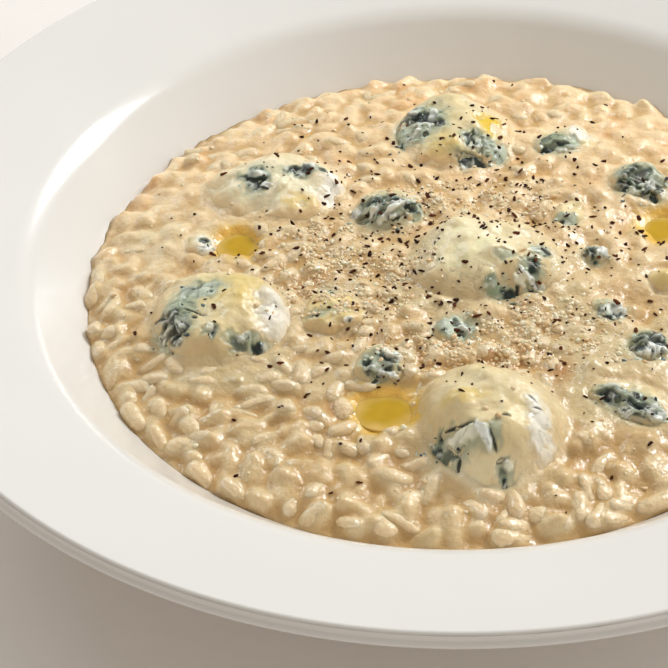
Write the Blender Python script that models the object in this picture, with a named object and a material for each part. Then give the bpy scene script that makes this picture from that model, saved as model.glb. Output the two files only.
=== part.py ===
"""Gorgonzola risotto in the wide-rimmed bowl plate that holds it.

One unit of the sizes below is a millimetre; meshes are written in metres, +Z up.
The origin is the centre of the foot ring's underside, and the plate's axis is Z.
The risotto is one heap: a bare core that fills the well, with a bump of true
size for each rice grain that shows. The lumps of blue cheese and the pools of
oil are fitted to the bare core, and the grains keep clear of them.
"""

import math
import random
from collections import namedtuple

import bmesh
import bpy
from mathutils import Matrix, Vector
from mathutils.geometry import delaunay_2d_cdt

MM = 0.001

# Driving dimensions of the plate
PLATE_RADIUS = 140.0
LIP_HEIGHT = 46.0
WELL_FLOOR = 7.0
WALL_FOOT_RADIUS = 82.0
SHOULDER_RADIUS = 105.9
SHOULDER_HEIGHT = 34.1
WALL_THICKNESS = 4.5
WALL_FOOT_ROUNDING = 16.0
SHOULDER_ROUNDING = 14.0
FOOT_RING_OUTER = 72.0
FOOT_RING_INNER = 68.0
FOOT_RING_HEIGHT = 2.4
UNDERSIDE_ROUNDING = 12.0
RIM_BEND_OUT = 0.8
RIM_BEND_DOWN = 1.3
PLATE_SEGMENTS = 56

# The plate's edge from below to its top: how far in from the rim, and how far down
GROOVED_EDGE = ((1.6, 4.6), (0.1, 3.7), (0.0, 2.8), (0.8, 1.8), (0.9, 0.0))

# Driving dimensions of the food
GAP = 0.35
BED_EDGE_HEIGHT = 19.2
BED_RISE = 4.8
BED_WAVE = 0.45
BED_SPACING = 8.0
ROW_PITCH = BED_SPACING * math.sqrt(3) / 2
GRAIN_LENGTH = 10.4
GRAIN_WIDTH = 4.5
GRAIN_LIFT = 2.3
GRAIN_CLEARANCE = 0.44
WHOLE_GRAIN_TRIES = 24000
GRAIN_TRIES = 44000
LUMP_EDGE = 0.7
POOL_DEPTH = 2.2
OIL_REACH = 0.86
OIL_BULGE = 0.1
SEED = 27

# A lump of cheese: place and half sizes of its outline, height over the core, turn of
# the outline in degrees, direction of its blue crumbly side, and how rough that side is
Lump = namedtuple("Lump", "x y half_width half_depth height turn vein_side crumb")

LUMPS = {
    "cheese_left": Lump(-57.6, -20.0, 18.4, 17.8, 10.0, 8, 200, 1.1),
    "cheese_back_left": Lump(-47.1, 32.2, 19.4, 16.0, 8.5, 4, 110, 0.7),
    "cheese_back": Lump(-0.2, 56.2, 17.4, 17.6, 9.5, 0, 150, 1.3),
    "cheese_inner": Lump(-17.0, 21.6, 11.0, 8.2, 6.5, 10, 60, 1.4),
    "cheese_middle": Lump(7.4, -0.3, 20.6, 17.6, 10.0, -8, -20, 1.0),
    "cheese_front": Lump(8.4, -58.2, 17.9, 18.4, 12.0, 0, 200, 0.8),
    "cheese_right": Lump(48.4, 33.5, 9.2, 8.0, 6.0, -12, 90, 1.3),
    "cheese_back_right": Lump(29.6, 54.2, 9.2, 8.4, 4.5, 15, 180, 0.9),
    "cheese_low_right": Lump(40.6, -50.0, 10.4, 7.4, 4.8, -24, 180, 1.2),
    "cheese_edge": Lump(72.0, 1.0, 11.0, 12.0, 8.0, 0, 30, 1.0),
    "cheese_far_right": Lump(64.5, -34.0, 9.2, 10.0, 7.0, 20, 0, 1.2),
    "crumb_front_left": Lump(-17.8, -38.7, 6.4, 6.8, 4.6, 0, 60, 1.0),
    "crumb_heap": Lump(-29.4, -19.0, 8.2, 9.6, 4.4, 0, 90, 0.9),
    "crumb_middle": Lump(0.3, -26.4, 6.2, 4.8, 4.0, 0, 180, 0.9),
    "crumb_beside_oil": Lump(-65.3, 10.2, 4.6, 4.9, 3.4, 0, 90, 0.6),
    "crumb_right": Lump(46.0, -31.0, 6.6, 6.2, 5.2, 0, 180, 1.0),
    "crumb_right_inner": Lump(36.8, -18.6, 4.6, 5.4, 3.4, 0, 90, 0.8),
    "crumb_right_back": Lump(35.0, 3.4, 4.4, 5.0, 3.4, 0, 0, 0.8),
    "crumb_pale": Lump(29.6, 19.4, 5.4, 6.0, 3.5, 0, 90, 0.5),
    "crumb_pale_edge": Lump(52.4, -7.0, 5.8, 6.6, 4.4, 0, 0, 0.5),
    "crumb_far_edge": Lump(66.5, 45.0, 7.6, 7.4, 5.4, 0, 60, 0.9),
    "crumb_far_right": Lump(74.0, 24.0, 6.0, 6.6, 4.4, 0, 30, 0.9),
}

# For lumps from a half size up: vertices round the outline, shares where the dome's rings lie
LUMP_DETAIL = (
    (15.0, 18, (0.9, 0.72, 0.48, 0.23)),
    (8.0, 14, (0.84, 0.58, 0.28)),
    (0.0, 11, (0.78, 0.4)),
)

# A pool of oil in a dip of the core: place and half sizes of the dip
Pool = namedtuple("Pool", "x y half_width half_depth")

POOLS = {
    "oil_left": Pool(-55.4, 9.9, 5.4, 5.8),
    "oil_front": Pool(-16.1, -51.7, 7.4, 6.6),
    "oil_right": Pool(53.2, 16.4, 6.2, 6.8),
}

# A grain: place, direction, length and width, height of its back over the core, its tilt
Grain = namedtuple("Grain", "x y turn length width lift slope")

# Shares of a whole grain that show of the half-sunk ones, least and most
SUNK_GRAIN = (0.5, 0.7)

# Rings of vertices that shape a dip: share of its half sizes, number of vertices
DIP_RINGS = ((0.5, 7), (0.85, 11), (1.04, 12))

# Outline of a grain and of its back, as shares of its length and width
GRAIN_FOOT = ((-0.5, 0), (-0.26, -0.5), (0.26, -0.5), (0.5, 0), (0.26, 0.5), (-0.26, 0.5))
GRAIN_BACK = ((-0.25, -0.2), (0.25, -0.2), (0.25, 0.2), (-0.25, 0.2))

# Colour, roughness
FINISHES = {
    "glazed_white": ((0.86, 0.85, 0.83), 0.12),
    "rice_cream": ((0.80, 0.65, 0.44), 0.35),
    "blue_cheese": ((0.78, 0.73, 0.55), 0.4),
    "oil": ((0.72, 0.48, 0.06), 0.08),
}


def clear_scene():
    for obj in list(bpy.data.objects):
        bpy.data.objects.remove(obj, do_unlink=True)


def finish(name):
    """The named material, made once."""
    material = bpy.data.materials.get(name)
    if material:
        return material
    colour, roughness = FINISHES[name]
    material = bpy.data.materials.new(name)
    material.use_nodes = True
    shader = material.node_tree.nodes["Principled BSDF"]
    shader.inputs["Base Color"].default_value = (*colour, 1.0)
    shader.inputs["Roughness"].default_value = roughness
    shader.inputs["Metallic"].default_value = 0.0
    material.diffuse_color = (*colour, 1.0)
    return material


def add_object(name, bm, material, smooth_angle):
    """Turn a mesh in millimetres into a named object in metres."""
    bmesh.ops.recalc_face_normals(bm, faces=bm.faces)
    bmesh.ops.scale(bm, vec=(MM, MM, MM), verts=bm.verts)
    mesh = bpy.data.meshes.new(name)
    bm.to_mesh(mesh)
    bm.free()
    mesh.materials.append(finish(material))
    mesh.shade_smooth()
    mesh.set_sharp_from_angle(angle=math.radians(smooth_angle))
    obj = bpy.data.objects.new(name, mesh)
    bpy.context.scene.collection.objects.link(obj)
    return obj


def skin(bm, rings):
    """Join rings of vertices, in order, into a surface; a ring of one vertex is a tip."""
    for lower, upper in zip(rings, rings[1:]):
        count = max(len(lower), len(upper))
        for i in range(count):
            corners = []
            for vertex in (
                lower[i % len(lower)],
                lower[(i + 1) % len(lower)],
                upper[(i + 1) % len(upper)],
                upper[i % len(upper)],
            ):
                if vertex not in corners:
                    corners.append(vertex)
            bm.faces.new(corners)


def turned_ring(bm, radius, height, segments):
    """A level circle of vertices round the axis, or its centre where the radius is 0."""
    if radius == 0:
        return [bm.verts.new((0, 0, height))]
    angles = [2 * math.pi * i / segments for i in range(segments)]
    return [bm.verts.new((radius * math.cos(a), radius * math.sin(a), height)) for a in angles]


def rounded(corners, arc_step=16.0):
    """An outline through (radius, height, rounding) corners, with an arc at each one."""
    outline = [Vector(corners[0][:2])]
    for before, corner, after in zip(corners, corners[1:], corners[2:]):
        point = Vector(corner[:2])
        towards_before = (Vector(before[:2]) - point).normalized()
        towards_after = (Vector(after[:2]) - point).normalized()
        turn = math.pi - towards_before.angle(towards_after)
        if corner[2] == 0:
            outline.append(point)
            continue
        reach = corner[2] * math.tan(turn / 2)
        middle = (towards_before + towards_after).normalized()
        centre = point + middle * corner[2] / math.cos(turn / 2)
        first = point + towards_before * reach - centre
        steps = max(1, round(math.degrees(turn) / arc_step))
        last = point + towards_after * reach - centre
        sense = 1 if first.x * last.y - first.y * last.x > 0 else -1
        for step in range(steps + 1):
            spin = Matrix.Rotation(sense * turn * step / steps, 2)
            outline.append(centre + spin @ first)
    outline.append(Vector(corners[-1][:2]))
    return outline


def inner_corners():
    """The plate's upper face, from its centre out to the top of the lip."""
    inset, _ = GROOVED_EDGE[-1]
    return [
        (0, WELL_FLOOR, 0),
        (WALL_FOOT_RADIUS, WELL_FLOOR, WALL_FOOT_ROUNDING),
        (SHOULDER_RADIUS, SHOULDER_HEIGHT, SHOULDER_ROUNDING),
        (PLATE_RADIUS - inset, LIP_HEIGHT, 0),
    ]


def outer_corners():
    """The plate's underside, from its centre out over the foot ring to the lip's edge."""
    run = SHOULDER_RADIUS - WALL_FOOT_RADIUS
    rise = SHOULDER_HEIGHT - WELL_FLOOR
    across = WALL_THICKNESS * rise / math.hypot(run, rise)
    down = WALL_THICKNESS * run / math.hypot(run, rise)
    return [
        (0, FOOT_RING_HEIGHT, 0),
        (FOOT_RING_INNER - 0.5 * FOOT_RING_HEIGHT, FOOT_RING_HEIGHT, 0),
        (FOOT_RING_INNER, 0, 0),
        (FOOT_RING_OUTER, 0, 0),
        (FOOT_RING_OUTER + 0.5 * FOOT_RING_HEIGHT, FOOT_RING_HEIGHT, 0),
        (WALL_FOOT_RADIUS + across, WELL_FLOOR - down, UNDERSIDE_ROUNDING),
        (
            SHOULDER_RADIUS + RIM_BEND_OUT * across,
            SHOULDER_HEIGHT - RIM_BEND_DOWN * down,
            UNDERSIDE_ROUNDING,
        ),
        *((PLATE_RADIUS - inset, LIP_HEIGHT - depth, 0) for inset, depth in GROOVED_EDGE),
    ]


def build_plate():
    """A turned plate: foot ring, underside, grooved lip edge, rim, wall and well floor."""
    outline = rounded(outer_corners())[:-1] + rounded(inner_corners())[::-1]
    bm = bmesh.new()
    skin(bm, [turned_ring(bm, point.x, point.y, PLATE_SEGMENTS) for point in outline])
    return add_object("plate", bm, "glazed_white", 35)


def along(outline, height):
    """Radius at which a rising outline passes a height."""
    for lower, upper in zip(outline, outline[1:]):
        if lower.y <= height <= upper.y and upper.y > lower.y:
            return lower.x + (upper.x - lower.x) * (height - lower.y) / (upper.y - lower.y)
    return outline[-1].x


def pool_reach(pool, x, y):
    """Distance from a pool's centre, 1 at its outline."""
    return math.hypot((x - pool.x) / pool.half_width, (y - pool.y) / pool.half_depth)


def level(x, y):
    """Height of the bare core without its dips: gently domed and a little uneven."""
    reach = min(math.hypot(x, y) / bed_radius(), 1.0)
    wave = math.sin(0.11 * x + 0.4) * math.sin(0.09 * y + 1.1) + 0.5 * math.sin(0.07 * (x - y))
    return BED_EDGE_HEIGHT + (BED_RISE + BED_WAVE * wave) * (1 - reach**3)


def bed(x, y):
    """Height of the bare core, with a dip under each pool of oil."""
    reach = min(pool_reach(pool, x, y) for pool in POOLS.values())
    return level(x, y) - POOL_DEPTH * max(0.0, 1 - reach**2)


def bed_outline():
    """The core's own outline against the dish, a gap inside the dish's upper face."""
    face = rounded(inner_corners())
    return [Vector((max(p.x - GAP, 0), p.y + GAP)) for p in face]


def bed_radius():
    return along(bed_outline(), BED_EDGE_HEIGHT)


def outline_factor(lump, angle):
    """The uneven outline of a lump: its distance from the centre over the half sizes."""
    phase = 0.13 * lump.x + 0.07 * lump.y
    uneven = 0.05 * math.sin(2 * angle + phase) + 0.045 * math.sin(3 * angle + 2 * phase)
    return 0.97 + uneven + 0.02 * math.sin(5 * angle + 3 * phase)


def lump_point(lump, reach, angle):
    """Plan position at a share of the way from a lump's centre to its outline."""
    across = lump.half_width * reach * outline_factor(lump, angle) * math.cos(angle)
    deep = lump.half_depth * reach * outline_factor(lump, angle) * math.sin(angle)
    turn = math.radians(lump.turn)
    return (
        lump.x + across * math.cos(turn) - deep * math.sin(turn),
        lump.y + across * math.sin(turn) + deep * math.cos(turn),
    )


def lump_reach(lump, x, y):
    """Distance of a plan position from a lump's centre, 1 at its outline."""
    turn = math.radians(lump.turn)
    dx, dy = x - lump.x, y - lump.y
    across = (dx * math.cos(turn) + dy * math.sin(turn)) / lump.half_width
    deep = (dy * math.cos(turn) - dx * math.sin(turn)) / lump.half_depth
    return math.hypot(across, deep) / outline_factor(lump, math.atan2(deep, across))


def build_lump(name, lump):
    """A half-melted lump: flat below on the core, domed above, rough on its blue side."""
    draw = random.Random(f"{SEED} {name}")
    size = max(lump.half_width, lump.half_depth)
    segments, reaches = next(detail[1:] for detail in LUMP_DETAIL if size > detail[0])
    angles = [2 * math.pi * i / segments for i in range(segments)]
    bm = bmesh.new()

    def ring(reach, height_of):
        places = [lump_point(lump, reach, a) for a in angles]
        return [bm.verts.new((x, y, bed(x, y) + height_of(a))) for (x, y), a in zip(places, angles)]

    def upper_height(reach):
        dome = (1 - reach**2.4) ** 0.75
        def height(angle):
            side = max(0.0, math.cos(angle - math.radians(lump.vein_side)))
            rough = lump.crumb * (0.25 + 0.75 * side) * draw.uniform(-0.8, 1.0)
            return GAP + LUMP_EDGE + (lump.height - LUMP_EDGE) * dome + rough * min(1, 3 * dome)
        return height

    middle = bed(lump.x, lump.y)
    rings = [[bm.verts.new((lump.x, lump.y, middle + GAP))]]
    rings.append(ring(0.55, lambda angle: GAP))
    rings.append(ring(0.98, lambda angle: GAP))
    rings.append(ring(1.0, lambda angle: GAP + LUMP_EDGE))
    rings += [ring(reach, upper_height(reach)) for reach in reaches]
    rings.append([bm.verts.new((lump.x, lump.y, middle + GAP + lump.height))])
    skin(bm, rings)
    bmesh.ops.triangulate(bm, faces=bm.faces)
    return add_object(name, bm, "blue_cheese", 50)


def ellipse(pool, reach, count):
    """Plan positions round a pool's centre."""
    angles = [2 * math.pi * i / count for i in range(count)]
    return [
        (
            pool.x + reach * pool.half_width * math.cos(angle),
            pool.y + reach * pool.half_depth * math.sin(angle),
        )
        for angle in angles
    ]


def build_pool(name, pool):
    """Oil that fills a dip up to its level."""
    surface = min(level(x, y) for x, y in ellipse(pool, 1.0, 12))
    bm = bmesh.new()
    rings = [[bm.verts.new((pool.x, pool.y, bed(pool.x, pool.y) + GAP))]]
    for reach in (0.45, OIL_REACH - 0.02):
        places = ellipse(pool, reach, 14)
        rings.append([bm.verts.new((x, y, bed(x, y) + GAP)) for x, y in places])
    rings.append([bm.verts.new((x, y, surface)) for x, y in ellipse(pool, OIL_REACH, 14)])
    rings.append([bm.verts.new((pool.x, pool.y, surface + OIL_BULGE))])
    skin(bm, rings)
    bmesh.ops.triangulate(bm, faces=bm.faces)
    return add_object(name, bm, "oil", 40)


def grain_point(grain, along_share, across_share):
    """Plan position of a point given as shares of a grain's length and width."""
    along_axis = along_share * grain.length
    across_axis = across_share * grain.width
    return (
        grain.x + along_axis * math.cos(grain.turn) - across_axis * math.sin(grain.turn),
        grain.y + along_axis * math.sin(grain.turn) + across_axis * math.cos(grain.turn),
    )


def is_clear(x, y, margin):
    """Whether a plan position keeps a margin to the dish, the cheese and the oil."""
    if math.hypot(x, y) > bed_radius() - margin:
        return False
    for lump in LUMPS.values():
        if lump_reach(lump, x, y) < 1 + margin / min(lump.half_width, lump.half_depth):
            return False
    return all(pool_reach(p, x, y) > 1 + margin / p.half_width for p in POOLS.values())


def place_grains():
    """Seeded places of the grains that show: whole ones, then half-sunk ones between them."""
    draw = random.Random(SEED)
    grains = []
    beads = []
    for attempt in range(GRAIN_TRIES):
        seen = 1.0 if attempt < WHOLE_GRAIN_TRIES else draw.uniform(*SUNK_GRAIN)
        reach = bed_radius() * math.sqrt(draw.random())
        angle = draw.uniform(0, 2 * math.pi)
        grain = Grain(
            x=reach * math.cos(angle),
            y=reach * math.sin(angle),
            turn=draw.uniform(0, math.pi),
            length=GRAIN_LENGTH * seen * draw.uniform(0.84, 1.06),
            width=GRAIN_WIDTH * math.sqrt(seen) * draw.uniform(0.92, 1.08),
            lift=GRAIN_LIFT * seen * draw.uniform(0.8, 1.25),
            slope=draw.uniform(-0.12, 0.12),
        )
        spine = [grain_point(grain, share, 0) for share in (-0.3, 0, 0.3)]
        crowded = any(
            math.hypot(x - bead_x, y - bead_y) < GRAIN_CLEARANCE * (grain.width + bead_width)
            for bead_x, bead_y, bead_width in beads
            if abs(bead_x - grain.x) < GRAIN_LENGTH and abs(bead_y - grain.y) < GRAIN_LENGTH
            for x, y in spine
        )
        if not crowded and all(is_clear(*grain_point(grain, *share), 0.5) for share in GRAIN_FOOT):
            grains.append(grain)
            beads += [(x, y, grain.width) for x, y in spine]
    return grains


def heap_points(boundary, grains):
    """The heap's upper vertices, and the edges round and along each grain."""
    points = [v.co.copy() for v in boundary]
    edges = []

    def add_loop(loop):
        first = len(points)
        points.extend(loop)
        edges.extend((first + i, first + (i + 1) % len(loop)) for i in range(len(loop)))

    for grain in grains:
        foot = [grain_point(grain, *share) for share in GRAIN_FOOT]
        add_loop([Vector((x, y, bed(x, y))) for x, y in foot])
        rise = [grain.lift + grain.slope * grain.length * share[0] for share in GRAIN_BACK]
        back = [grain_point(grain, *share) for share in GRAIN_BACK]
        add_loop([Vector((x, y, bed(x, y) + up)) for (x, y), up in zip(back, rise)])
    for pool in POOLS.values():
        points.append(Vector((pool.x, pool.y, bed(pool.x, pool.y))))
        for reach, count in DIP_RINGS:
            points += [Vector((x, y, bed(x, y))) for x, y in ellipse(pool, reach, count)]
    rows = int(bed_radius() / ROW_PITCH) + 1
    for row in range(-rows, rows + 1):
        for column in range(-rows, rows + 1):
            x = (column + 0.5 * (row % 2)) * BED_SPACING
            y = row * ROW_PITCH
            if math.hypot(x, y) > bed_radius() - 0.5 * BED_SPACING:
                continue
            nearest = min((x - p.x) ** 2 + (y - p.y) ** 2 for p in points)
            if nearest > (0.45 * BED_SPACING) ** 2:
                points.append(Vector((x, y, bed(x, y))))
    return points, edges


def build_risotto():
    """The heap: a core shaped like the dish below, with bumps the size of grains above."""
    bm = bmesh.new()
    profile = [p for p in bed_outline() if p.y < BED_EDGE_HEIGHT - 0.5]
    rings = [turned_ring(bm, p.x, p.y, PLATE_SEGMENTS) for p in profile]
    boundary = turned_ring(bm, bed_radius(), BED_EDGE_HEIGHT, PLATE_SEGMENTS)
    skin(bm, rings + [boundary])
    points, edges = heap_points(boundary, place_grains())
    flat = [Vector((p.x, p.y)) for p in points]
    placed, _, triangles, sources, _, _ = delaunay_2d_cdt(flat, edges, [], 0, 1e-5)
    upper = []
    for place, source in zip(placed, sources):
        if source and source[0] < len(boundary):
            upper.append(boundary[source[0]])
        else:
            height = points[source[0]].z if source else bed(place.x, place.y)
            upper.append(bm.verts.new((place.x, place.y, height)))
    for triangle in triangles:
        bm.faces.new([upper[i] for i in triangle])
    bmesh.ops.triangulate(bm, faces=bm.faces)
    return add_object("risotto", bm, "rice_cream", 25)


def main():
    clear_scene()
    build_plate()
    build_risotto()
    for name, lump in LUMPS.items():
        build_lump(name, lump)
    for name, pool in POOLS.items():
        build_pool(name, pool)


main()
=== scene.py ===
"""Looks of the gorgonzola risotto in its wide-rimmed bowl plate.

Sizes and places are millimetres in the plate's frame and repeat those of the solids;
meshes are written in metres. Heights of the food are worked out on a raster over the
well: the sauce is drawn up round the rice grains and the lumps of cheese, and the
pepper and the grated cheese lie on whatever is on top.
"""

import math
import random
from collections import namedtuple

import bmesh
import bpy
import numpy as np
from mathutils import Matrix, Vector


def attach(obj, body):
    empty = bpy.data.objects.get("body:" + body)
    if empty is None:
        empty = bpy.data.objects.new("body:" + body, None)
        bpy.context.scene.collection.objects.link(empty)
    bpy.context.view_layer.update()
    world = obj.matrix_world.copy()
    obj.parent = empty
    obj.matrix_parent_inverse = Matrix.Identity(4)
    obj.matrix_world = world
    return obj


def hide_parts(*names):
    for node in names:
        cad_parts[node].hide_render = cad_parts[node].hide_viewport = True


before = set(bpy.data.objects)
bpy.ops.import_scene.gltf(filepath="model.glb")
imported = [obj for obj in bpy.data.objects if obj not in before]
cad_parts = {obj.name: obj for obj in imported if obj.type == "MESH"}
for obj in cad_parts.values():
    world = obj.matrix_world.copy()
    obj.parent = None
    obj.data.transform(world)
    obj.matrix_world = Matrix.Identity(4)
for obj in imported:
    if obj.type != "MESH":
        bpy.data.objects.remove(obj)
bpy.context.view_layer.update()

MM = 0.001
SEED = 27

# The plate, as in the solids
PLATE_RADIUS = 140.0
LIP_HEIGHT = 46.0
WELL_FLOOR = 7.0
WALL_FOOT_RADIUS = 82.0
SHOULDER_RADIUS = 105.9
SHOULDER_HEIGHT = 34.1
WALL_THICKNESS = 4.5
WALL_FOOT_ROUNDING = 16.0
SHOULDER_ROUNDING = 14.0
FOOT_RING_OUTER = 72.0
FOOT_RING_INNER = 68.0
FOOT_RING_HEIGHT = 2.4
FOOT_RING_ROUNDING = 0.8
FOOT_INNER_ROUNDING = 0.6
FOOT_OUTER_ROUNDING = 1.5
UNDERSIDE_ROUNDING = 12.0
RIM_BEND_OUT = 0.8
RIM_BEND_DOWN = 1.3
PLATE_SEGMENTS = 256
ARC_STEP = 4.0

# The plate's edge from below to its top: how far in from the rim, how far down, rounding
GROOVED_EDGE = (
    (1.6, 4.6, 1.2),
    (0.0, 3.7, 0.7),
    (0.0, 2.9, 0.6),
    (0.9, 2.4, 0.5),
    (0.9, 1.0, 0.4),
    (0.6, 0.0, 0.8),
)

# The food, as in the solids
GAP = 0.35
BED_RADIUS = 92.1
BED_EDGE_HEIGHT = 19.2
BED_RISE = 4.8
BED_WAVE = 0.45
LUMP_EDGE = 0.7
POOL_DEPTH = 2.2
GRAIN_LENGTH = 10.4
GRAIN_WIDTH = 4.5

# The sauce over the bare core: its rise, how much less at the sides, how much more at the
# back, and where it meets the wall
SAUCE_RISE = 0.5
SAUCE_SINK = 0.6
BACK_RISE = 1.5
WALL_CONTACT_RADIUS = 93.3

# The raster over the well, and the mesh of the sauce
RASTER_STEP = 0.35
RASTER_REACH = 96.0
SAUCE_STEPS = 296

# A lump of cheese, as in the solids: place, half sizes, height over the core, turn in degrees
Lump = namedtuple("Lump", "x y half_width half_depth height turn", defaults=(0,))

LUMPS = {
    "cheese_left": Lump(-57.6, -20, 18.4, 17.8, 10, 8),
    "cheese_back_left": Lump(-47.1, 32.2, 19.4, 16, 8.5, 4),
    "cheese_back": Lump(-0.2, 56.2, 17.4, 17.6, 9.5),
    "cheese_inner": Lump(-17, 21.6, 11, 8.2, 6.5, 10),
    "cheese_middle": Lump(7.4, -0.3, 20.6, 17.6, 10, -8),
    "cheese_front": Lump(8.4, -58.2, 17.9, 18.4, 12),
    "cheese_right": Lump(48.4, 33.5, 9.2, 8, 6, -12),
    "cheese_back_right": Lump(29.6, 54.2, 9.2, 8.4, 4.5, 15),
    "cheese_low_right": Lump(40.6, -50, 10.4, 7.4, 4.8, -24),
    "cheese_edge": Lump(72, 1, 11, 12, 8),
    "cheese_far_right": Lump(64.5, -34, 9.2, 10, 7, 20),
    "crumb_front_left": Lump(-17.8, -38.7, 6.4, 6.8, 4.6),
    "crumb_heap": Lump(-29.4, -19, 8.2, 9.6, 4.4),
    "crumb_middle": Lump(0.3, -26.4, 6.2, 4.8, 4),
    "crumb_beside_oil": Lump(-65.3, 10.2, 4.6, 4.9, 3.4),
    "crumb_right": Lump(46, -31, 6.6, 6.2, 5.2),
    "crumb_right_inner": Lump(36.8, -18.6, 4.6, 5.4, 3.4),
    "crumb_right_back": Lump(35, 3.4, 4.4, 5, 3.4),
    "crumb_pale": Lump(29.6, 19.4, 5.4, 6, 3.5),
    "crumb_pale_edge": Lump(52.4, -7, 5.8, 6.6, 4.4),
    "crumb_far_edge": Lump(66.5, 45, 7.6, 7.4, 5.4),
    "crumb_far_right": Lump(74, 24, 6, 6.6, 4.4),
}

# An oval outline: place, half sizes, turn in degrees
Oval = namedtuple("Oval", "x y half_width half_depth turn", defaults=(0,))

# The pools of oil in dips of the core, as in the solids
POOLS = {
    "oil_left": Oval(-55.4, 9.9, 5.4, 5.8),
    "oil_front": Oval(-16.1, -51.7, 7.4, 6.6),
    "oil_right": Oval(53.2, 16.4, 6.2, 6.8),
}

# Amber patches on the sauce
AMBER_SPOTS = (
    Oval(3.5, -31.5, 3.4, 2),
    Oval(-72.5, -40.3, 2.2, 3),
    Oval(12, -36, 7, 4),
    Oval(24, -40, 4, 5),
    Oval(-27, -52, 4, 2.6),
    Oval(-34, -7, 6, 3, 20),
)

# Where the cream is thick, where pepper lies, and drifts of grated cheese
CREAM_MIDDLE = Oval(2, 2, 46, 34)
PEPPER_FIELD = Oval(2, 2, 46, 44)
GRATING_DRIFTS = (
    Oval(-24, -10, 17, 12),
    Oval(8, -31, 24, 9),
    Oval(22, -27, 14, 10),
    Oval(-30, 8, 12, 9),
    Oval(6, 26, 20, 8),
)

# Cream and melted cheese that cover the grains: place, half sizes, rise over the sauce, turn
Melt = namedtuple("Melt", "x y half_width half_depth rise turn", defaults=(0,))

MELTS = (
    Melt(-53, -38, 19, 9.5, 1.9, 4),
    Melt(-56, 17, 17, 10, 1.5, -8),
    Melt(-3, 37, 13, 5, 1.2),
    Melt(-8, -14, 12, 8, 1.6, -20),
    Melt(7, -72, 19, 9, 1.8),
    Melt(-9, -62, 7, 9, 1.2),
    Melt(43, -44, 28, 20, 2.2, -10),
    Melt(31, -18, 9, 11, 1.6, 20),
    Melt(56, -8, 14, 15, 2.4),
    Melt(-36, -42, 15, 8, 1),
    Melt(52, 28, 13, 11, 1.2),
    Melt(30, 50, 13, 10, 1),
    Melt(-20, 14, 13, 7, 1.2),
    Melt(-16.1, -51.7, 11, 9.5, 0.9),
    Melt(66, -30, 13, 15, 1.6),
    Melt(68, 38, 12, 12, 1.1),
    Melt(-76, 12, 9, 13, 1.3),
    Melt(-70, 26, 8, 8, 0.9),
)

# Paler cream, with its strength in place of the rise; the first is painted light on the slope below
# the front lump, which faces away from the lamps
PALE_AND_PAINTED_LIGHT_SPOTS = (
    Melt(2, -75.5, 14, 6, 0.95),
    Melt(-76, 13, 8, 10, 0.4),
)


def srgb(red, green, blue):
    """A colour as a screen shows it, 0 to 255, in linear light."""
    parts = np.array([red, green, blue]) / 255
    return np.where(parts <= 0.04045, parts / 12.92, ((parts + 0.055) / 1.055) ** 2.4)


SAUCE_CREAM = srgb(228, 203, 156)
# Golden sauce; also painted shade in the gaps between grains, under the grains and along the wall
SAUCE_GOLD_AND_SHADE = srgb(202, 162, 98)
SAUCE_AMBER = srgb(190, 136, 66)
SAUCE_PEACH = srgb(255, 225, 180)
MELT_CREAM = srgb(216, 197, 152)
CREAM_LIGHT = srgb(250, 235, 198)
SAUCE_ORANGE = srgb(234, 180, 116)
GRAIN_CREAM = srgb(232, 209, 165)
GRAIN_WHITE = srgb(244, 232, 208)
CHEESE_CREAM = srgb(236, 220, 178)
CHEESE_YELLOW = srgb(232, 208, 138)
VEIN_BLACK = srgb(10, 24, 19)
VEIN_TEAL = srgb(44, 82, 78)
VEIN_GREY = srgb(152, 177, 168)
VEIN_PALE = srgb(214, 225, 206)
# White of the cheese between veins, also used for painted glints
VEIN_WHITE_AND_GLINT = srgb(250, 253, 244)
VEIN_GREEN = srgb(154, 174, 144)
CHALK = srgb(248, 243, 228)
VEIN_HALO = srgb(180, 188, 158)
VEIN_SHADE = srgb(130, 154, 140)
OIL_GOLD = srgb(200, 162, 38)
OIL_EDGE = srgb(226, 190, 108)
# Gold of the pools' rims, lightened as painted light
OIL_RIM_AND_PAINTED_LIGHT = srgb(244, 198, 84)
PEPPER_BLACK = srgb(46, 20, 10)
PEPPER_BROWN = srgb(120, 62, 30)
GRATING_PALE = srgb(255, 240, 208)
GRATING_TAN = srgb(236, 201, 150)
GLAZE_WHITE = srgb(238, 236, 232)
FLOOR_WHITE = srgb(242, 236, 231)

# How a spot of a lump looks: colour and its strength, how far it is raised, size and height
# of its bits, strength and width of the dark streaks between them, share of dark bits,
# share of white bits, roughness
Look = namedtuple(
    "Look",
    "colour share lift size crumb streak width dark white rough",
    defaults=(0, 0, 0.1, 0, 0, 0.3),
)

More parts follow.
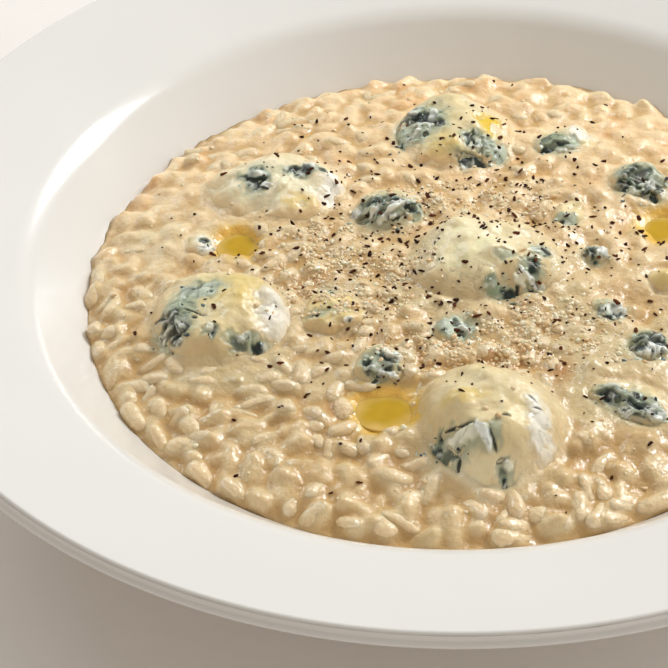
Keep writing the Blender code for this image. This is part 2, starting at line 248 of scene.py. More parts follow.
LOOKS = {
    "vein": Look(VEIN_PALE, 0.97, 0.1, 2.2, 1, 0.95, 0.16, 0.6, 0.62, 0.2),
    "dark": Look(VEIN_BLACK, 0.97, -0.7, 1.6, 0.4, 0.6, 0.2, 0.95, 0, 0.3),
    "grey": Look(VEIN_PALE, 0.7, 0.1, 2.6, 0.3, 0.6, 0.12, 0.12, 0.2, 0.3),
    "green": Look(VEIN_GREEN, 0.75, 0, 2.4, 0.3, 0.8, 0.14, 0.2, 0.1, 0.3),
    # white: white bits of cheese, partly painted glints: near-white, glossy and raised where
    # highlights lie
    "white": Look(VEIN_WHITE_AND_GLINT, 0.9, 0.35, 1.3, 0.7, 0.38, 0.14, 0.2, 0.8, 0.1),
    "chalk": Look(CHALK, 0.92, 0.15, 2.6, 0.25, 0.28, 0.045, 0, 0, 0.25),
    "pale": Look(srgb(255, 240, 208), 0.95, 0, 3),
    # cream: lighter cream, painted light on the shaded left flank of the middle lump
    "cream": Look(srgb(255, 238, 198), 0.95, 0, 3),
    "yellow": Look(CHEESE_YELLOW, 0.9, 0, 3),
    "ridge": Look(srgb(240, 236, 206), 0.8, 1, 3, 0.1, rough=0.25),
    "hollow": Look(srgb(92, 102, 86), 0.9, -0.5, 2.4, 0.2, 0.2, 0.08, 0, 0, 0.25),
    "shade": Look(srgb(156, 170, 148), 0.7, -0.35, 3, 0.2),
    "ink": Look(VEIN_BLACK, 0.95, -0.35, 1.6, 0, 0.32, 0.2),
    # A raised pale chunk of cheese; on the left lump one stands as a painted glint
    "pale_chunk_and_glint": Look(srgb(248, 246, 224), 0.97, 1, 2.4, 0.3, 0.32, 0.05, 0, 0.25, 0.25),
    "roll": Look(VEIN_WHITE_AND_GLINT, 0.98, 1.1, 1.4, 0.3, 0.35, 0.06, 0, 1, 0.15),
    "brown": Look(srgb(176, 118, 46), 0.8, -0.1, 2),
    "oil": Look(srgb(236, 200, 52), 0.97, -0.2, 3, rough=0.05),
}

# A spot on a lump: its look, place, half sizes, turn in degrees; later ones lie on earlier ones
Spot = namedtuple("Spot", "look x y half_width half_depth turn", defaults=(0,))

SPOTS = {
    "cheese_left": (
        Spot("yellow", -54.5, -16.5, 9, 5.4, 10),
        Spot("yellow", -49.5, -21, 4.4, 4.6),
        Spot("chalk", -43.6, -22.6, 4.6, 6.8, 8),
        Spot("grey", -62, -17, 4.6, 2.6, 15),
        Spot("green", -65.9, -22.6, 3.4, 2, -15),
        Spot("vein", -69, -28, 4.6, 4.4),
        Spot("dark", -72.4, -29.8, 1.6, 1.2, 60),
        Spot("ink", -71.2, -23.8, 2.6, 0.4, -35),
        Spot("ink", -66.2, -30.4, 2.3, 0.5, 6),
        Spot("ink", -69.3, -26.8, 1.5, 0.3, -30),
        Spot("ink", -62.4, -25.3, 2.7, 0.35, -20),
        Spot("ink", -63.3, -16.5, 0.6, 0.5),
        Spot("ink", -59.1, -18, 0.6, 0.5, 30),
        Spot("ink", -62.3, -27, 0.8, 0.5),
        Spot("shade", -58.4, -31.4, 2.4, 1.4),
        Spot("dark", -57.3, -32, 0.6, 1.3, -20),
        # Painted glint: a pale bit where a highlight lies, beside a dark spot
        Spot("pale_chunk_and_glint", -58.3, -31, 0.8, 0.9),
        Spot("shade", -51.4, -32.6, 3.8, 2),
        Spot("hollow", -51.8, -33.2, 1.9, 1.2),
        # Painted glint: white bits where a highlight lies
        Spot("white", -50, -31.2, 1.7, 0.9, 30),
        Spot("shade", -46, -32, 3.6, 2.2),
        Spot("dark", -46.4, -32.8, 1.8, 0.9),
        # Painted glint: white bits where a highlight lies
        Spot("white", -45.2, -31.8, 1, 0.5),
        Spot("pale", -42.6, -31.4, 2.2, 1.1, 20),
    ),
    "cheese_back_left": (
        Spot("pale", -46, 26, 16, 12),
        Spot("yellow", -39, 21.5, 5, 3),
        Spot("ridge", -43.6, 29, 0.9, 4.4, -25),
        Spot("chalk", -31.5, 27.5, 3.6, 6),
        Spot("vein", -51.2, 29.6, 3.6, 3.6),
        Spot("vein", -40.2, 33, 3.6, 1.9),
        Spot("dark", -34.6, 32.8, 1.1, 0.8, 30),
        # Painted glint: white bits where a highlight lies
        Spot("white", -48.8, 27.2, 1.6, 0.7, -30),
    ),
    "cheese_back": (
        Spot("yellow", -2, 44, 7, 5),
        Spot("vein", -10.5, 56, 6.5, 6.5, 20),
        Spot("grey", -14, 51.5, 3.4, 4),
        Spot("dark", -3.9, 53.4, 1.2, 1.8, 10),
        Spot("dark", -7.6, 49.6, 0.7, 1),
        Spot("white", -10.6, 51.5, 2, 1, 20),
        Spot("vein", 7, 46.8, 4.4, 2.4, -15),
        Spot("grey", 11.8, 45.6, 3.2, 3.4),
        Spot("dark", 5.2, 41, 4.2, 1.9, -12),
        # Painted glint: white bits where a highlight lies
        Spot("white", 3, 39.6, 2, 0.8, -20),
        Spot("brown", -7.9, 41.4, 1, 0.8),
        Spot("oil", 9.2, 54.8, 3.4, 4.6),
    ),
    "cheese_inner": (
        Spot("vein", -16.8, 17.6, 7.6, 4, 5),
        Spot("grey", -8.6, 18.6, 2.6, 2.4),
        Spot("chalk", -9.8, 24.2, 3, 2.6),
        Spot("dark", -19.9, 19.4, 2.4, 1, 10),
        Spot("dark", -11.8, 18.4, 1.7, 1.2),
        Spot("dark", -21.8, 15, 1.5, 0.8),
        Spot("dark", -11.2, 12.8, 1.3, 1),
        Spot("white", -25.2, 19, 1.6, 1.1),
        Spot("white", -20.6, 16.6, 1.5, 0.8, 10),
        Spot("roll", -15.8, 16.8, 3.2, 0.6, 30),
        Spot("roll", -14.2, 18.6, 2.4, 0.5, 20),
        Spot("white", -15, 14.4, 1.8, 0.8, 20),
    ),
    "cheese_middle": (
        # Lighter cream as painted light on the lump's shaded left flank
        Spot("cream", -1, -3, 15, 12),
        Spot("shade", 12.4, -7, 3, 1.4),
        Spot("shade", 18.6, -9.2, 3.6, 2.8, 20),
        Spot("grey", 12.2, -14.4, 4.2, 1.6),
        Spot("green", 9.2, -13.6, 2.2, 1.2),
        Spot("dark", 19.4, -8.8, 1.5, 1.9, -20),
        Spot("dark", 19.8, -12.1, 1.6, 1),
        Spot("dark", 13.2, -14.3, 1.7, 0.8, 10),
        Spot("ink", 15.2, -13.2, 0.5, 1.3),
        Spot("dark", 16.2, -17, 1.8, 0.7, 15),
        Spot("pale_chunk_and_glint", 16, -11.4, 1.7, 1, 20),
        Spot("roll", 18.2, -11, 2.4, 0.6, -25),
        # Painted glint: white bits where a highlight lies
        Spot("white", 21.7, -12, 1.1, 0.9, 40),
        Spot("grey", 21.2, -3.2, 2.4, 1.4, 30),
        Spot("ink", 22.8, -2.6, 1.4, 0.5),
        Spot("brown", 16.6, -5.4, 1.2, 0.4, 30),
    ),
    "cheese_front": (
        Spot("yellow", 1.8, -58.6, 5.8, 2.2),
        Spot("chalk", 18.6, -65, 2.8, 7.6, 4),
        Spot("ink", 17.4, -59, 1.6, 0.3, -50),
        Spot("ink", 18.6, -61.6, 1.3, 0.25, 10),
        Spot("shade", 0.2, -68.6, 6.8, 3.6, -12),
        # Painted shadow to the right of the white roll, in the grey-green shade look
        Spot("shade", 8.8, -68.8, 1.9, 2.4),
        Spot("vein", -6.4, -66.4, 2.2, 1.5),
        Spot("hollow", -2.6, -68.6, 2.2, 1.4, -30),
        Spot("dark", -3.2, -65.4, 0.7, 1.1, -10),
        Spot("dark", -3.9, -67.6, 0.9, 1.2),
        Spot("dark", -6.6, -67.4, 1.4, 0.5),
        Spot("dark", 0.9, -70.2, 1, 0.5, 10),
        Spot("hollow", -0.7, -70.2, 1.4, 0.6),
        Spot("ink", 0.9, -65.5, 3.9, 0.3, -14),
        Spot("ink", 0.8, -72.2, 0.4, 1.1),
        Spot("pale_chunk_and_glint", 1.5, -67.8, 3.2, 1.6, -12),
        Spot("ink", 8.3, -70.4, 2, 0.35, -60),
        Spot("roll", 6.2, -69, 3.1, 0.95, -60),
        Spot("shade", 11, -75.4, 1.8, 2.4),
        Spot("hollow", 10.7, -75.4, 0.8, 1.2),
        Spot("dark", 10.9, -76.6, 0.6, 0.7),
        Spot("ink", 10.3, -73.6, 1.1, 0.35, 20),
        Spot("pale_chunk_and_glint", 11.6, -74.1, 1, 0.7),
        Spot("brown", 8.4, -76.4, 0.5, 0.7),
        Spot("ink", 11.3, -65.3, 1.1, 0.35, -10),
    ),
    "cheese_right": (
        Spot("vein", 48.2, 29.4, 7.4, 4.8, -10),
        Spot("dark", 48.6, 32.6, 2.6, 1, 25),
        Spot("dark", 43.8, 30, 2, 0.8, -20),
        Spot("dark", 50.4, 26.4, 2.4, 0.9, -10),
        Spot("white", 51.4, 29.2, 2.2, 1, -20),
        Spot("white", 44.4, 27.6, 0.8, 2, 20),
    ),
    "cheese_back_right": (
        Spot("green", 27, 50, 5, 3),
        Spot("dark", 24.6, 48.2, 3.2, 1.5, 25),
        Spot("dark", 28.2, 49.6, 2.2, 0.9),
        # Painted glint: white bits where a highlight lies
        Spot("white", 28.6, 47.2, 1.9, 0.8),
        Spot("chalk", 33, 55, 3, 3),
    ),
    "cheese_low_right": (
        Spot("vein", 38.8, -52.2, 7.4, 3.6, -24),
        Spot("dark", 35.4, -50.4, 3.2, 1.2, -30),
        Spot("dark", 42.2, -53.4, 3.2, 1.3, -20),
        # Painted glints: white bits where highlights lie
        Spot("white", 46, -54.6, 2.4, 1.5, -20),
        Spot("white", 38, -54.2, 1.8, 0.6, -10),
    ),
    "cheese_edge": (
        Spot("vein", 76, -2, 4.6, 5),
        Spot("chalk", 67, 4, 4, 4),
        Spot("dark", 76.6, 1, 1, 2.2),
    ),
    "cheese_far_right": (
        Spot("vein", 66, -36, 4.6, 5.6, 20),
        Spot("dark", 65, -38.6, 2.4, 1),
        Spot("white", 68, -34, 1.8, 1),
    ),
    "crumb_front_left": (
        Spot("vein", -17.6, -40.2, 4, 3.2, 10),
        Spot("chalk", -14.4, -36.8, 2, 1.6),
        Spot("dark", -20.6, -40, 1.5, 1, 20),
        Spot("ink", -16.6, -39, 1.6, 0.35, -30),
        Spot("dark", -17.4, -43.4, 1.2, 0.7),
        # Painted glint: white bits where a highlight lies
        Spot("white", -16.8, -42.4, 1.2, 0.7, -20),
        Spot("roll", -14.6, -42.6, 1.7, 0.5, -10),
    ),
    "crumb_heap": (
        Spot("yellow", -29, -17, 7, 8),
        Spot("grey", -31.4, -12.6, 2.2, 1.3, 10),
        Spot("ink", -31.6, -12.4, 0.9, 0.4, 10),
        Spot("shade", -33.8, -22, 3.4, 1.8),
        Spot("ink", -34, -22.2, 1.4, 0.35, 15),
        Spot("shade", -28, -21, 3, 1.6),
        Spot("white", -25.6, -24.6, 1, 0.6, 20),
    ),
    "crumb_middle": (
        Spot("grey", 0.3, -26, 4.6, 3.4),
        Spot("dark", 0.9, -28.6, 1.1, 0.8, 10),
        Spot("roll", 2.2, -27, 1.8, 0.5, -35),
    ),
    "crumb_beside_oil": (
        Spot("chalk", -63.4, 8.4, 3.2, 3.6),
        Spot("white", -62.6, 7, 2, 1.2, 20),
        Spot("dark", -63.8, 9.4, 1.1, 0.8, 20),
    ),
    "crumb_right": (
        Spot("vein", 45.2, -33.2, 5.4, 3.8),
        Spot("dark", 42.6, -31.8, 1.9, 1.2),
        Spot("white", 46.2, -34.4, 2, 1.2, 20),
    ),
    "crumb_right_inner": (
        Spot("vein", 37.6, -21, 3.4, 2.6),
        Spot("white", 39.4, -20.6, 1.8, 1.2),
    ),
    "crumb_right_back": (
        Spot("vein", 34.4, 1.2, 2.8, 2.4),
        Spot("dark", 34.1, 0.8, 0.7, 1.6, 10),
    ),
    "crumb_pale": (
        Spot("grey", 28, 16.2, 2.4, 1.5),
        Spot("white", 27.2, 15.6, 1.6, 0.8),
    ),
    "crumb_pale_edge": (Spot("yellow", 52.4, -8, 4, 4),),
    "crumb_far_edge": (
        Spot("vein", 66, 43, 4.6, 4),
        Spot("white", 68, 42, 1.8, 1),
    ),
    "crumb_far_right": (
        Spot("vein", 73.4, 22.4, 3.6, 3.4),
        Spot("white", 75, 21.4, 1.5, 0.9),
    ),
}


# ---------------------------------------------------------------- patterns

# Large odd numbers that mix the bits of a place
LATTICE_ODD = (374761393, 668265263, 144665, 1274126177)
OCTAVE_TURN = 0.9


def lattice(i, j, seed):
    """A fixed random number from 0 to 1 for each whole-numbered place."""
    mixed = (i * LATTICE_ODD[0] + j * LATTICE_ODD[1] + seed * LATTICE_ODD[2]) & 0xFFFFFFFF
    mixed = ((mixed ^ (mixed >> 13)) * LATTICE_ODD[3]) & 0xFFFFFFFF
    return ((mixed ^ (mixed >> 16)) & 0xFFFF) / 65535


def turned(x, y, angle):
    """A place turned round the origin."""
    return x * math.cos(angle) - y * math.sin(angle), x * math.sin(angle) + y * math.cos(angle)


def noise(x, y, size, seed):
    """Smooth unevenness from -1 to 1 with humps about size millimetres apart."""
    u, v = np.asarray(x) / size, np.asarray(y) / size
    i, j = np.floor(u).astype(np.int64), np.floor(v).astype(np.int64)
    s, t = u - i, v - j
    s, t = s * s * (3 - 2 * s), t * t * (3 - 2 * t)
    low = lattice(i, j, seed) * (1 - s) + lattice(i + 1, j, seed) * s
    high = lattice(i, j + 1, seed) * (1 - s) + lattice(i + 1, j + 1, seed) * s
    return 2 * (low * (1 - t) + high * t) - 1


def rough_noise(x, y, size, seed, octaves=3):
    """Noise with finer noise on it."""
    total = 0
    for octave in range(octaves):
        u, v = turned(x, y, OCTAVE_TURN * octave)
        total = total + noise(u, v, size / 2**octave, seed + 31 * octave) / 2**octave
    return total


def smoothstep(low, high, value):
    """A smooth step from 0 at low to 1 at high, which falls where low is the larger one."""
    share = np.clip((value - low) / (high - low), 0, 1)
    return share * share * (3 - 2 * share)


def mix(base, colour, share):
    """Blend colours, base towards colour, by a share for each place."""
    share = np.asarray(share)[..., None]
    return base * (1 - share) + colour * share


def layered(tint, *layers):
    """Blend colours over one another, each by its share for each place."""
    for colour, share in layers:
        tint = mix(tint, colour, share)
    return tint


# ---------------------------------------------------------------- the food's form

# A lump lower than this has rougher bumps and torn cream on it
SMALL_HEIGHT = 7.0

# Roughness of bare cheese, and how far the outline of a spot may stray
CHEESE_ROUGHNESS = 0.3
SPOT_WOBBLE = 1.7

# Limits of a look: with more streak than this a spot has a sharp edge, a halo of mould, or
# is broken into patches; a spot with some streak or a dent stays bare of cream; with more
# dark bits than this it has grey bits and white strands too
SHARP_STREAK = 0.3
MOULDY_STREAK = 0.4
PATCHY_STREAK = 0.7
BARE_STREAK = 0.15
BARE_LIFT = -0.3
SPECKLED_DARK = 0.3
SHARP_EDGE = (1.35, 0.75)
SOFT_EDGE = (1.5, 0.5)

# The pattern in a spot: how much longer its bits are than wide, width of the white strands
BIT_STRETCH = 1.4
STRAND_WIDTH = 0.12


def level(x, y):
    """Height of the bare core without its dips, as in the solids."""
    reach = np.minimum(np.hypot(x, y) / BED_RADIUS, 1.0)
    wave = np.sin(0.11 * x + 0.4) * np.sin(0.09 * y + 1.1) + 0.5 * np.sin(0.07 * (x - y))
    return BED_EDGE_HEIGHT + (BED_RISE + BED_WAVE * wave) * (1 - reach**3)


def oval_place(oval, x, y):
    """Place along the axes of a turned oval, in half sizes from its centre."""
    across, deep = turned(x - oval.x, y - oval.y, -math.radians(oval.turn))
    return across / oval.half_width, deep / oval.half_depth


def oval_reach(oval, x, y):
    """Distance from the centre of a turned oval, 1 at its outline."""
    return np.hypot(*oval_place(oval, x, y))


def outline_factor(lump, angle):
    """The uneven outline of a lump, as in the solids: distance from its centre over the half
    sizes."""
    phase = 0.13 * lump.x + 0.07 * lump.y
    uneven = 0.05 * np.sin(2 * angle + phase) + 0.045 * np.sin(3 * angle + 2 * phase)
    return 0.97 + uneven + 0.02 * np.sin(5 * angle + 3 * phase)


def lump_point(lump, reach, angle):
    """Plan position at a share of the way from a lump's centre to its outline."""
    away = reach * outline_factor(lump, angle)
    across, deep = lump.half_width * away * np.cos(angle), lump.half_depth * away * np.sin(angle)
    x, y = turned(across, deep, math.radians(lump.turn))
    return lump.x + x, lump.y + y


def lump_reach(lump, x, y):
    """Distance of a plan position from a lump's centre, 1 at its outline."""
    across, deep = oval_place(lump, x, y)
    return np.hypot(across, deep) / outline_factor(lump, np.arctan2(deep, across))


def lump_seed(name):
    return SEED + sum(map(ord, name))


def wetness(x, y):
    """How much the sauce shines, less towards the back."""
    return (0.72 - 0.3 * smoothstep(-15, 60, y)) * (0.8 + 0.4 * noise(x, y, 9.0, 11))


def frontness(y):
    """How far in front a place lies, from 0.2 at the back to 1."""
    return 1 - 0.8 * smoothstep(-30, 5, y)


def cream_colours(x, y):
    """The colour of thick cream sauce, lighter and more orange towards the back."""
    peach = 0.8 * smoothstep(-30, 60, y + 14 * noise(x, y, 16, 5))
    melted = 0.5 * frontness(y) * smoothstep(-0.2, 0.7, noise(x, y, 13, 8))
    tint = layered(SAUCE_CREAM, (SAUCE_PEACH, peach), (MELT_CREAM, melted))
    # Paler cream at some spots, one of them painted light on a shaded slope
    for spot in PALE_AND_PAINTED_LIGHT_SPOTS:
        tint = mix(tint, CREAM_LIGHT, spot.rise * smoothstep(1.5, 0.6, oval_reach(spot, x, y)))
    return tint


def lump_dome(name, x, y):
    """A lump's upper face at plan positions, without its spots, and how far relief may show,
    from 0 at the foot to 1."""
    lump = LUMPS[name]
    seed = lump_seed(name)
    reach = lump_reach(lump, x, y)
    inside = np.clip(1 - reach**2.4, 0, 1) ** 0.8
    height = level(x, y) + GAP + LUMP_EDGE + (lump.height - LUMP_EDGE) * inside
    soft = np.minimum(1, 2.5 * inside)
    small = 0.9 if lump.height < SMALL_HEIGHT else 0.55
    height += soft * (1.4 * noise(x, y, 8.5, seed) + 0.7 * noise(x, y, 5.2, seed + 2))
    height += soft * small * noise(x, y, 3.0, seed + 1)
    height += 0.12 * noise(x, y, 1.4, seed + 11)
    return height - 6 * np.clip(reach - 1, 0, 1), soft


def spot_pattern(look, lie, seed, order, x, y, ragged):
    """What breaks up a spot: bits, coarse noise and its width, dark streaks, white strands."""
    along, beside = turned(x, y, -lie)
    along, beside = along / BIT_STRETCH + 0.5 * ragged[0], beside + 0.5 * ragged[1]
    own = seed + 17 * order
    bits = rough_noise(along, beside, look.size, own, 2) / 1.1
    coarse = noise(along, beside, 1.1 * look.size, own + 5)
    fine = noise(along, beside, 0.45 * look.size, own + 6)
    width = look.width * (1 + 0.7 * noise(x, y, 2.4, seed + 8))
    streak = np.exp(-((np.abs(coarse) / width) ** 1.5))
    streak += 0.6 * np.exp(-((np.abs(fine) / (0.8 * width)) ** 1.5)) * (coarse > 0)
    streak = np.clip(streak, 0, 1)
    strand = noise(along, beside, 1.5 * look.size, seed + 41 + order) / STRAND_WIDTH
    strand = np.exp(-(strand**2)) * (look.dark > SPECKLED_DARK) * (1 - streak)
    return bits, coarse, width, streak, strand


def spot_colours(look, bits, coarse, width, streak, strand):
    """Colours of a spot: its own, grey to black in the low bits, white on the high ones."""
    white = 0.9 - 1.1 * look.white
    dark = 1.6 * look.dark - 0.9
    return layered(
        look.colour,
        (VEIN_GREY, 0.6 * smoothstep(0.2, -0.05, bits) * (look.dark > SPECKLED_DARK)),
        (VEIN_WHITE_AND_GLINT, smoothstep(white - 0.1, white + 0.15, bits) * (look.white > 0)),
        (VEIN_TEAL, smoothstep(dark + 0.12, dark, bits) * (look.dark > 0)),
        (VEIN_BLACK, smoothstep(dark, dark - 0.15, bits) * (look.dark > 0)),
        (VEIN_TEAL, 0.35 * look.streak * np.exp(-np.abs(coarse) / (1.8 * width))),
        (VEIN_BLACK, look.streak * streak),
        (VEIN_WHITE_AND_GLINT, 0.7 * strand),
    )


def lump_surface(name, x, y):
    """The spots of a lump at plan positions: relief, colour, roughness, share bare of cream
    and share of mould."""
    lump = LUMPS[name]
    seed = lump_seed(name)
    reach = lump_reach(lump, x, y)
    _, soft = lump_dome(name, x, y)
    cream = cream_colours(x, y)
    yellow = 0.15 + 0.2 * noise(x, y, 8.0, seed + 2)
    edge = smoothstep(0.55, 0.95, reach + 0.1 * noise(x, y, 4, seed))
    tint = layered(CHEESE_CREAM, (CHEESE_YELLOW, yellow), (cream, edge))
    relief, bare, mould = np.zeros((3, *reach.shape))
    rough = np.full(reach.shape, CHEESE_ROUGHNESS)
    # patterns run along the steep sides, not straight down them
    steep = 1 + 0.5 * (lump.height / lump.half_width) * np.clip(reach, 0, 1) ** 3
    px, py = lump.x + (x - lump.x) * steep, lump.y + (y - lump.y) * steep
    ragged = [
        0.9 * noise(px, py, 1.9, seed + k) + 0.45 * noise(px, py, 0.8, seed + k + 1) for k in (3, 5)
    ]
    for order, spot in enumerate(SPOTS[name]):
        look = LOOKS[spot.look]
        wobble = min(SPOT_WOBBLE, 0.5 * min(spot.half_width, spot.half_depth))
        away = oval_reach(spot, x + wobble * ragged[0], y + wobble * ragged[1])
        mask = smoothstep(1.2, 0.85, away)
        stain = smoothstep(*(SHARP_EDGE if look.streak > SHARP_STREAK else SOFT_EDGE), away)
        if look.streak > PATCHY_STREAK:
            patches = smoothstep(-0.75, -0.2, rough_noise(px, py, 3.4, seed + 9))
            mask, stain = mask * patches, stain * (0.3 + 0.7 * patches)
        lie = math.radians(spot.turn) + 2.4 * order
        pattern = spot_pattern(look, lie, seed, order, px, py, ragged)
        bits, _, _, streak, strand = pattern
        crumb = 0.9 * bits - 0.6 * streak + 0.5 * strand
        relief += mask * soft * (look.lift + look.crumb * crumb)
        if look.streak > MOULDY_STREAK:
            halo, shade = 0.65 * smoothstep(2.1, 1.0, away), 0.5 * smoothstep(1.5, 0.9, away)
            tint = layered(tint, (VEIN_HALO, halo), (VEIN_SHADE, shade))
            mould = np.maximum(mould, mask)
        if look.streak > BARE_STREAK or look.lift < BARE_LIFT:
            bare = np.maximum(bare, mask * (0.8 if look.streak > PATCHY_STREAK else 1.0))
        tint = mix(tint, spot_colours(look, *pattern), stain * look.share)
        rough = rough * (1 - mask) + look.rough * mask
    tint = mix(tint, cream, 0.85 * smoothstep(0.68, 0.98, reach) * (1 - bare))
    return relief, tint, rough, bare, mould


# ---------------------------------------------------------------- the raster over the well

AXIS = np.arange(-RASTER_REACH, RASTER_REACH + RASTER_STEP / 2, RASTER_STEP)
RASTER_X, RASTER_Y = np.meshgrid(AXIS, AXIS)
BLUR_REACH = 2.5


def window(x, y, reach):
    """The part of the raster within reach of a place."""
    first = np.searchsorted(AXIS, (x - reach, y - reach))
    last = np.searchsorted(AXIS, (x + reach, y + reach))
    return slice(first[1], last[1]), slice(first[0], last[0])


def read(values, x, y):
    """A raster's values between its points."""
    u = np.clip((x + RASTER_REACH) / RASTER_STEP, 0, len(AXIS) - 1.001)
    v = np.clip((y + RASTER_REACH) / RASTER_STEP, 0, len(AXIS) - 1.001)
    i, j = u.astype(int), v.astype(int)
    s, t = u - i, v - j
    low = values[j, i] * (1 - s) + values[j, i + 1] * s
    high = values[j + 1, i] * (1 - s) + values[j + 1, i + 1] * s
    return low * (1 - t) + high * t


def blurred(values, width):
    """A raster smoothed over about width millimetres."""
    reach = int(math.ceil(BLUR_REACH * width / RASTER_STEP))
    weights = np.exp(-0.5 * (np.arange(-reach, reach + 1) * RASTER_STEP / width) ** 2)
    weights /= weights.sum()
    for way in (0, 1):
        padding = [(reach, reach) if way == other else (0, 0) for other in (0, 1)]
        padded = np.pad(values, padding, mode="edge")
        size = values.shape[way]
        values = sum(
            weight * np.take(padded, range(shift, shift + size), axis=way)
            for shift, weight in enumerate(weights)
        )
    return values


def melt_heights(x, y):
    """How far cream and melted cheese lie over the sauce."""
    total = np.zeros(np.shape(x))
    for melt in MELTS:
        away = oval_reach(melt, x, y) + 0.12 * noise(x, y, 6.0, SEED + 3)
        total = np.maximum(total, melt.rise * smoothstep(1.15, 0.45, away))
    for pool in POOLS.values():
        total *= smoothstep(0.9, 1.25, oval_reach(pool, x, y))
    return total


def cream_cover(x, y):
    """How much the cream hides the rice, 0 to 1: in the middle, right, back and back left."""
    middle = smoothstep(1.25, 0.6, oval_reach(CREAM_MIDDLE, x, y))
    right = smoothstep(16, 42, x) * smoothstep(-86, -62, y)
    back = smoothstep(5, 60, y)
    left = smoothstep(-48, -66, x) * smoothstep(-6, 8, y)
    return np.maximum.reduce([0.75 * middle, 0.95 * right, 0.5 * back, 0.8 * left])


def pool_dips(x, y):
    """How far the sauce dips under the pools of oil."""
    reach = np.minimum.reduce([oval_reach(pool, x, y) for pool in POOLS.values()])
    reach = reach + 0.26 * noise(x, y, 4.5, SEED + 8) + 0.08 * noise(x, y, 1.8, SEED + 9)
    return (POOL_DEPTH + SAUCE_RISE) * np.clip(1 - reach**2, 0, 1)


# ---------------------------------------------------------------- rice grains

# A grain at rest: its middle, direction, pitch, length, width, bend, and whether sauce hides it
Grain = namedtuple("Grain", "x y z turn pitch length width bend covered")

# How grains fall: how many are tried, out of how many places each takes the lowest, how
# closely they nest, how deep they sink into the core, how high they may lie over it, below
# which height sauce hides them, and the radius beyond which it doesn't
GRAIN_TRIES = 3600
GRAIN_CHOICES = 7
GRAIN_NESTING = 0.62
GRAIN_REST = -1.0
GRAIN_CAP = 1.3
GRAIN_SHOWN_ABOVE = -0.35
EDGE_ROW_RADIUS = 82.0

# Height of a grain over its width, shares of the full length and width, largest slope
# between its ends, largest bend
GRAIN_HEIGHT_SHARE = 0.86
GRAIN_LENGTHS = (0.66, 1.0)
GRAIN_WIDTHS = (0.84, 1.06)
GRAIN_STEEPEST = 0.6
GRAIN_BEND = 0.16

# Side of the squares by which the beads near a place are found
BUCKET = 6.0

# A grain rests on three beads: where they lie along its length, how far they keep from the
# wall in their own radius, from lumps and pools in reaches, and how wide a lump can be
BEADS = (-0.32, 0, 0.32)
WALL_ROOM = 1.1
LUMP_ROOM = 0.97
POOL_ROOM = 1.1
WIDEST_LUMP = 26.0

# Shares of the grains that sauce hides and that lie tilted, and how far those tilt and sink
HIDDEN_SHARE = 0.07
TILTED_SHARE = 0.25
TILT = 0.4
TILT_SINK = 0.3

# The plate's wall where the sauce meets it: a radius, its height, and how the wall opens
WALL_RADIUS = 86.8
WALL_HEIGHT = 12.4
WALL_OPENING = 0.879


def wall_radius(height):
    """Radius of the plate's wall at a height."""
    return WALL_RADIUS + (height - WALL_HEIGHT) * WALL_OPENING


def half_height(width):
    """Half the height of a grain of a width."""
    return 0.5 * width * GRAIN_HEIGHT_SHARE


def grain_is_free(x, y, radius):
    """Whether a bead of a grain keeps clear of the wall, the cheese and the oil."""
    if math.hypot(x, y) > WALL_CONTACT_RADIUS - WALL_ROOM * radius:
        return False
    for lump in LUMPS.values():
        close = math.hypot(x - lump.x, y - lump.y) < WIDEST_LUMP
        if close and lump_reach(lump, x, y) < LUMP_ROOM:
            return False
    return all(oval_reach(pool, x, y) > POOL_ROOM for pool in POOLS.values())


def rest_height(buckets, x, y, radius):
    """Height at which a bead rests on the core and on the beads beside it."""
    height = float(level(x, y)) + GRAIN_REST
    key = (int(x // BUCKET), int(y // BUCKET))
    for i in (-1, 0, 1):
        for j in (-1, 0, 1):
            for bx, by, bz, other in buckets.get((key[0] + i, key[1] + j), ()):
                room = (GRAIN_NESTING * (radius + other)) ** 2 - (x - bx) ** 2 - (y - by) ** 2
                if room > 0:
                    height = max(height, bz + math.sqrt(room))
    return height


def tried_grain(draw, buckets):
    """A grain at a drawn place: how far it lies over the core, the grain and its beads, or
    None where it has no room."""
    away = WALL_CONTACT_RADIUS * math.sqrt(draw.random())
    angle = draw.uniform(0, 2 * math.pi)
    turn = draw.uniform(0, math.pi)
    length = GRAIN_LENGTH * draw.uniform(*GRAIN_LENGTHS)
    width = GRAIN_WIDTH * draw.uniform(*GRAIN_WIDTHS)
    x, y = away * math.cos(angle), away * math.sin(angle)
    beads = [(x + s * length * math.cos(turn), y + s * length * math.sin(turn)) for s in BEADS]
    radius = half_height(width)
    if not all(grain_is_free(bx, by, radius) for bx, by in beads):
        return None
    first, middle, last = (rest_height(buckets, bx, by, radius) for bx, by in beads)
    z = max(middle, 0.5 * (first + last))
    rise = (last - first) / ((BEADS[-1] - BEADS[0]) * length)
    pitch = math.atan(max(-GRAIN_STEEPEST, min(GRAIN_STEEPEST, rise)))
    return z - float(level(x, y)), Grain(x, y, z, turn, pitch, length, width, 0, False), beads


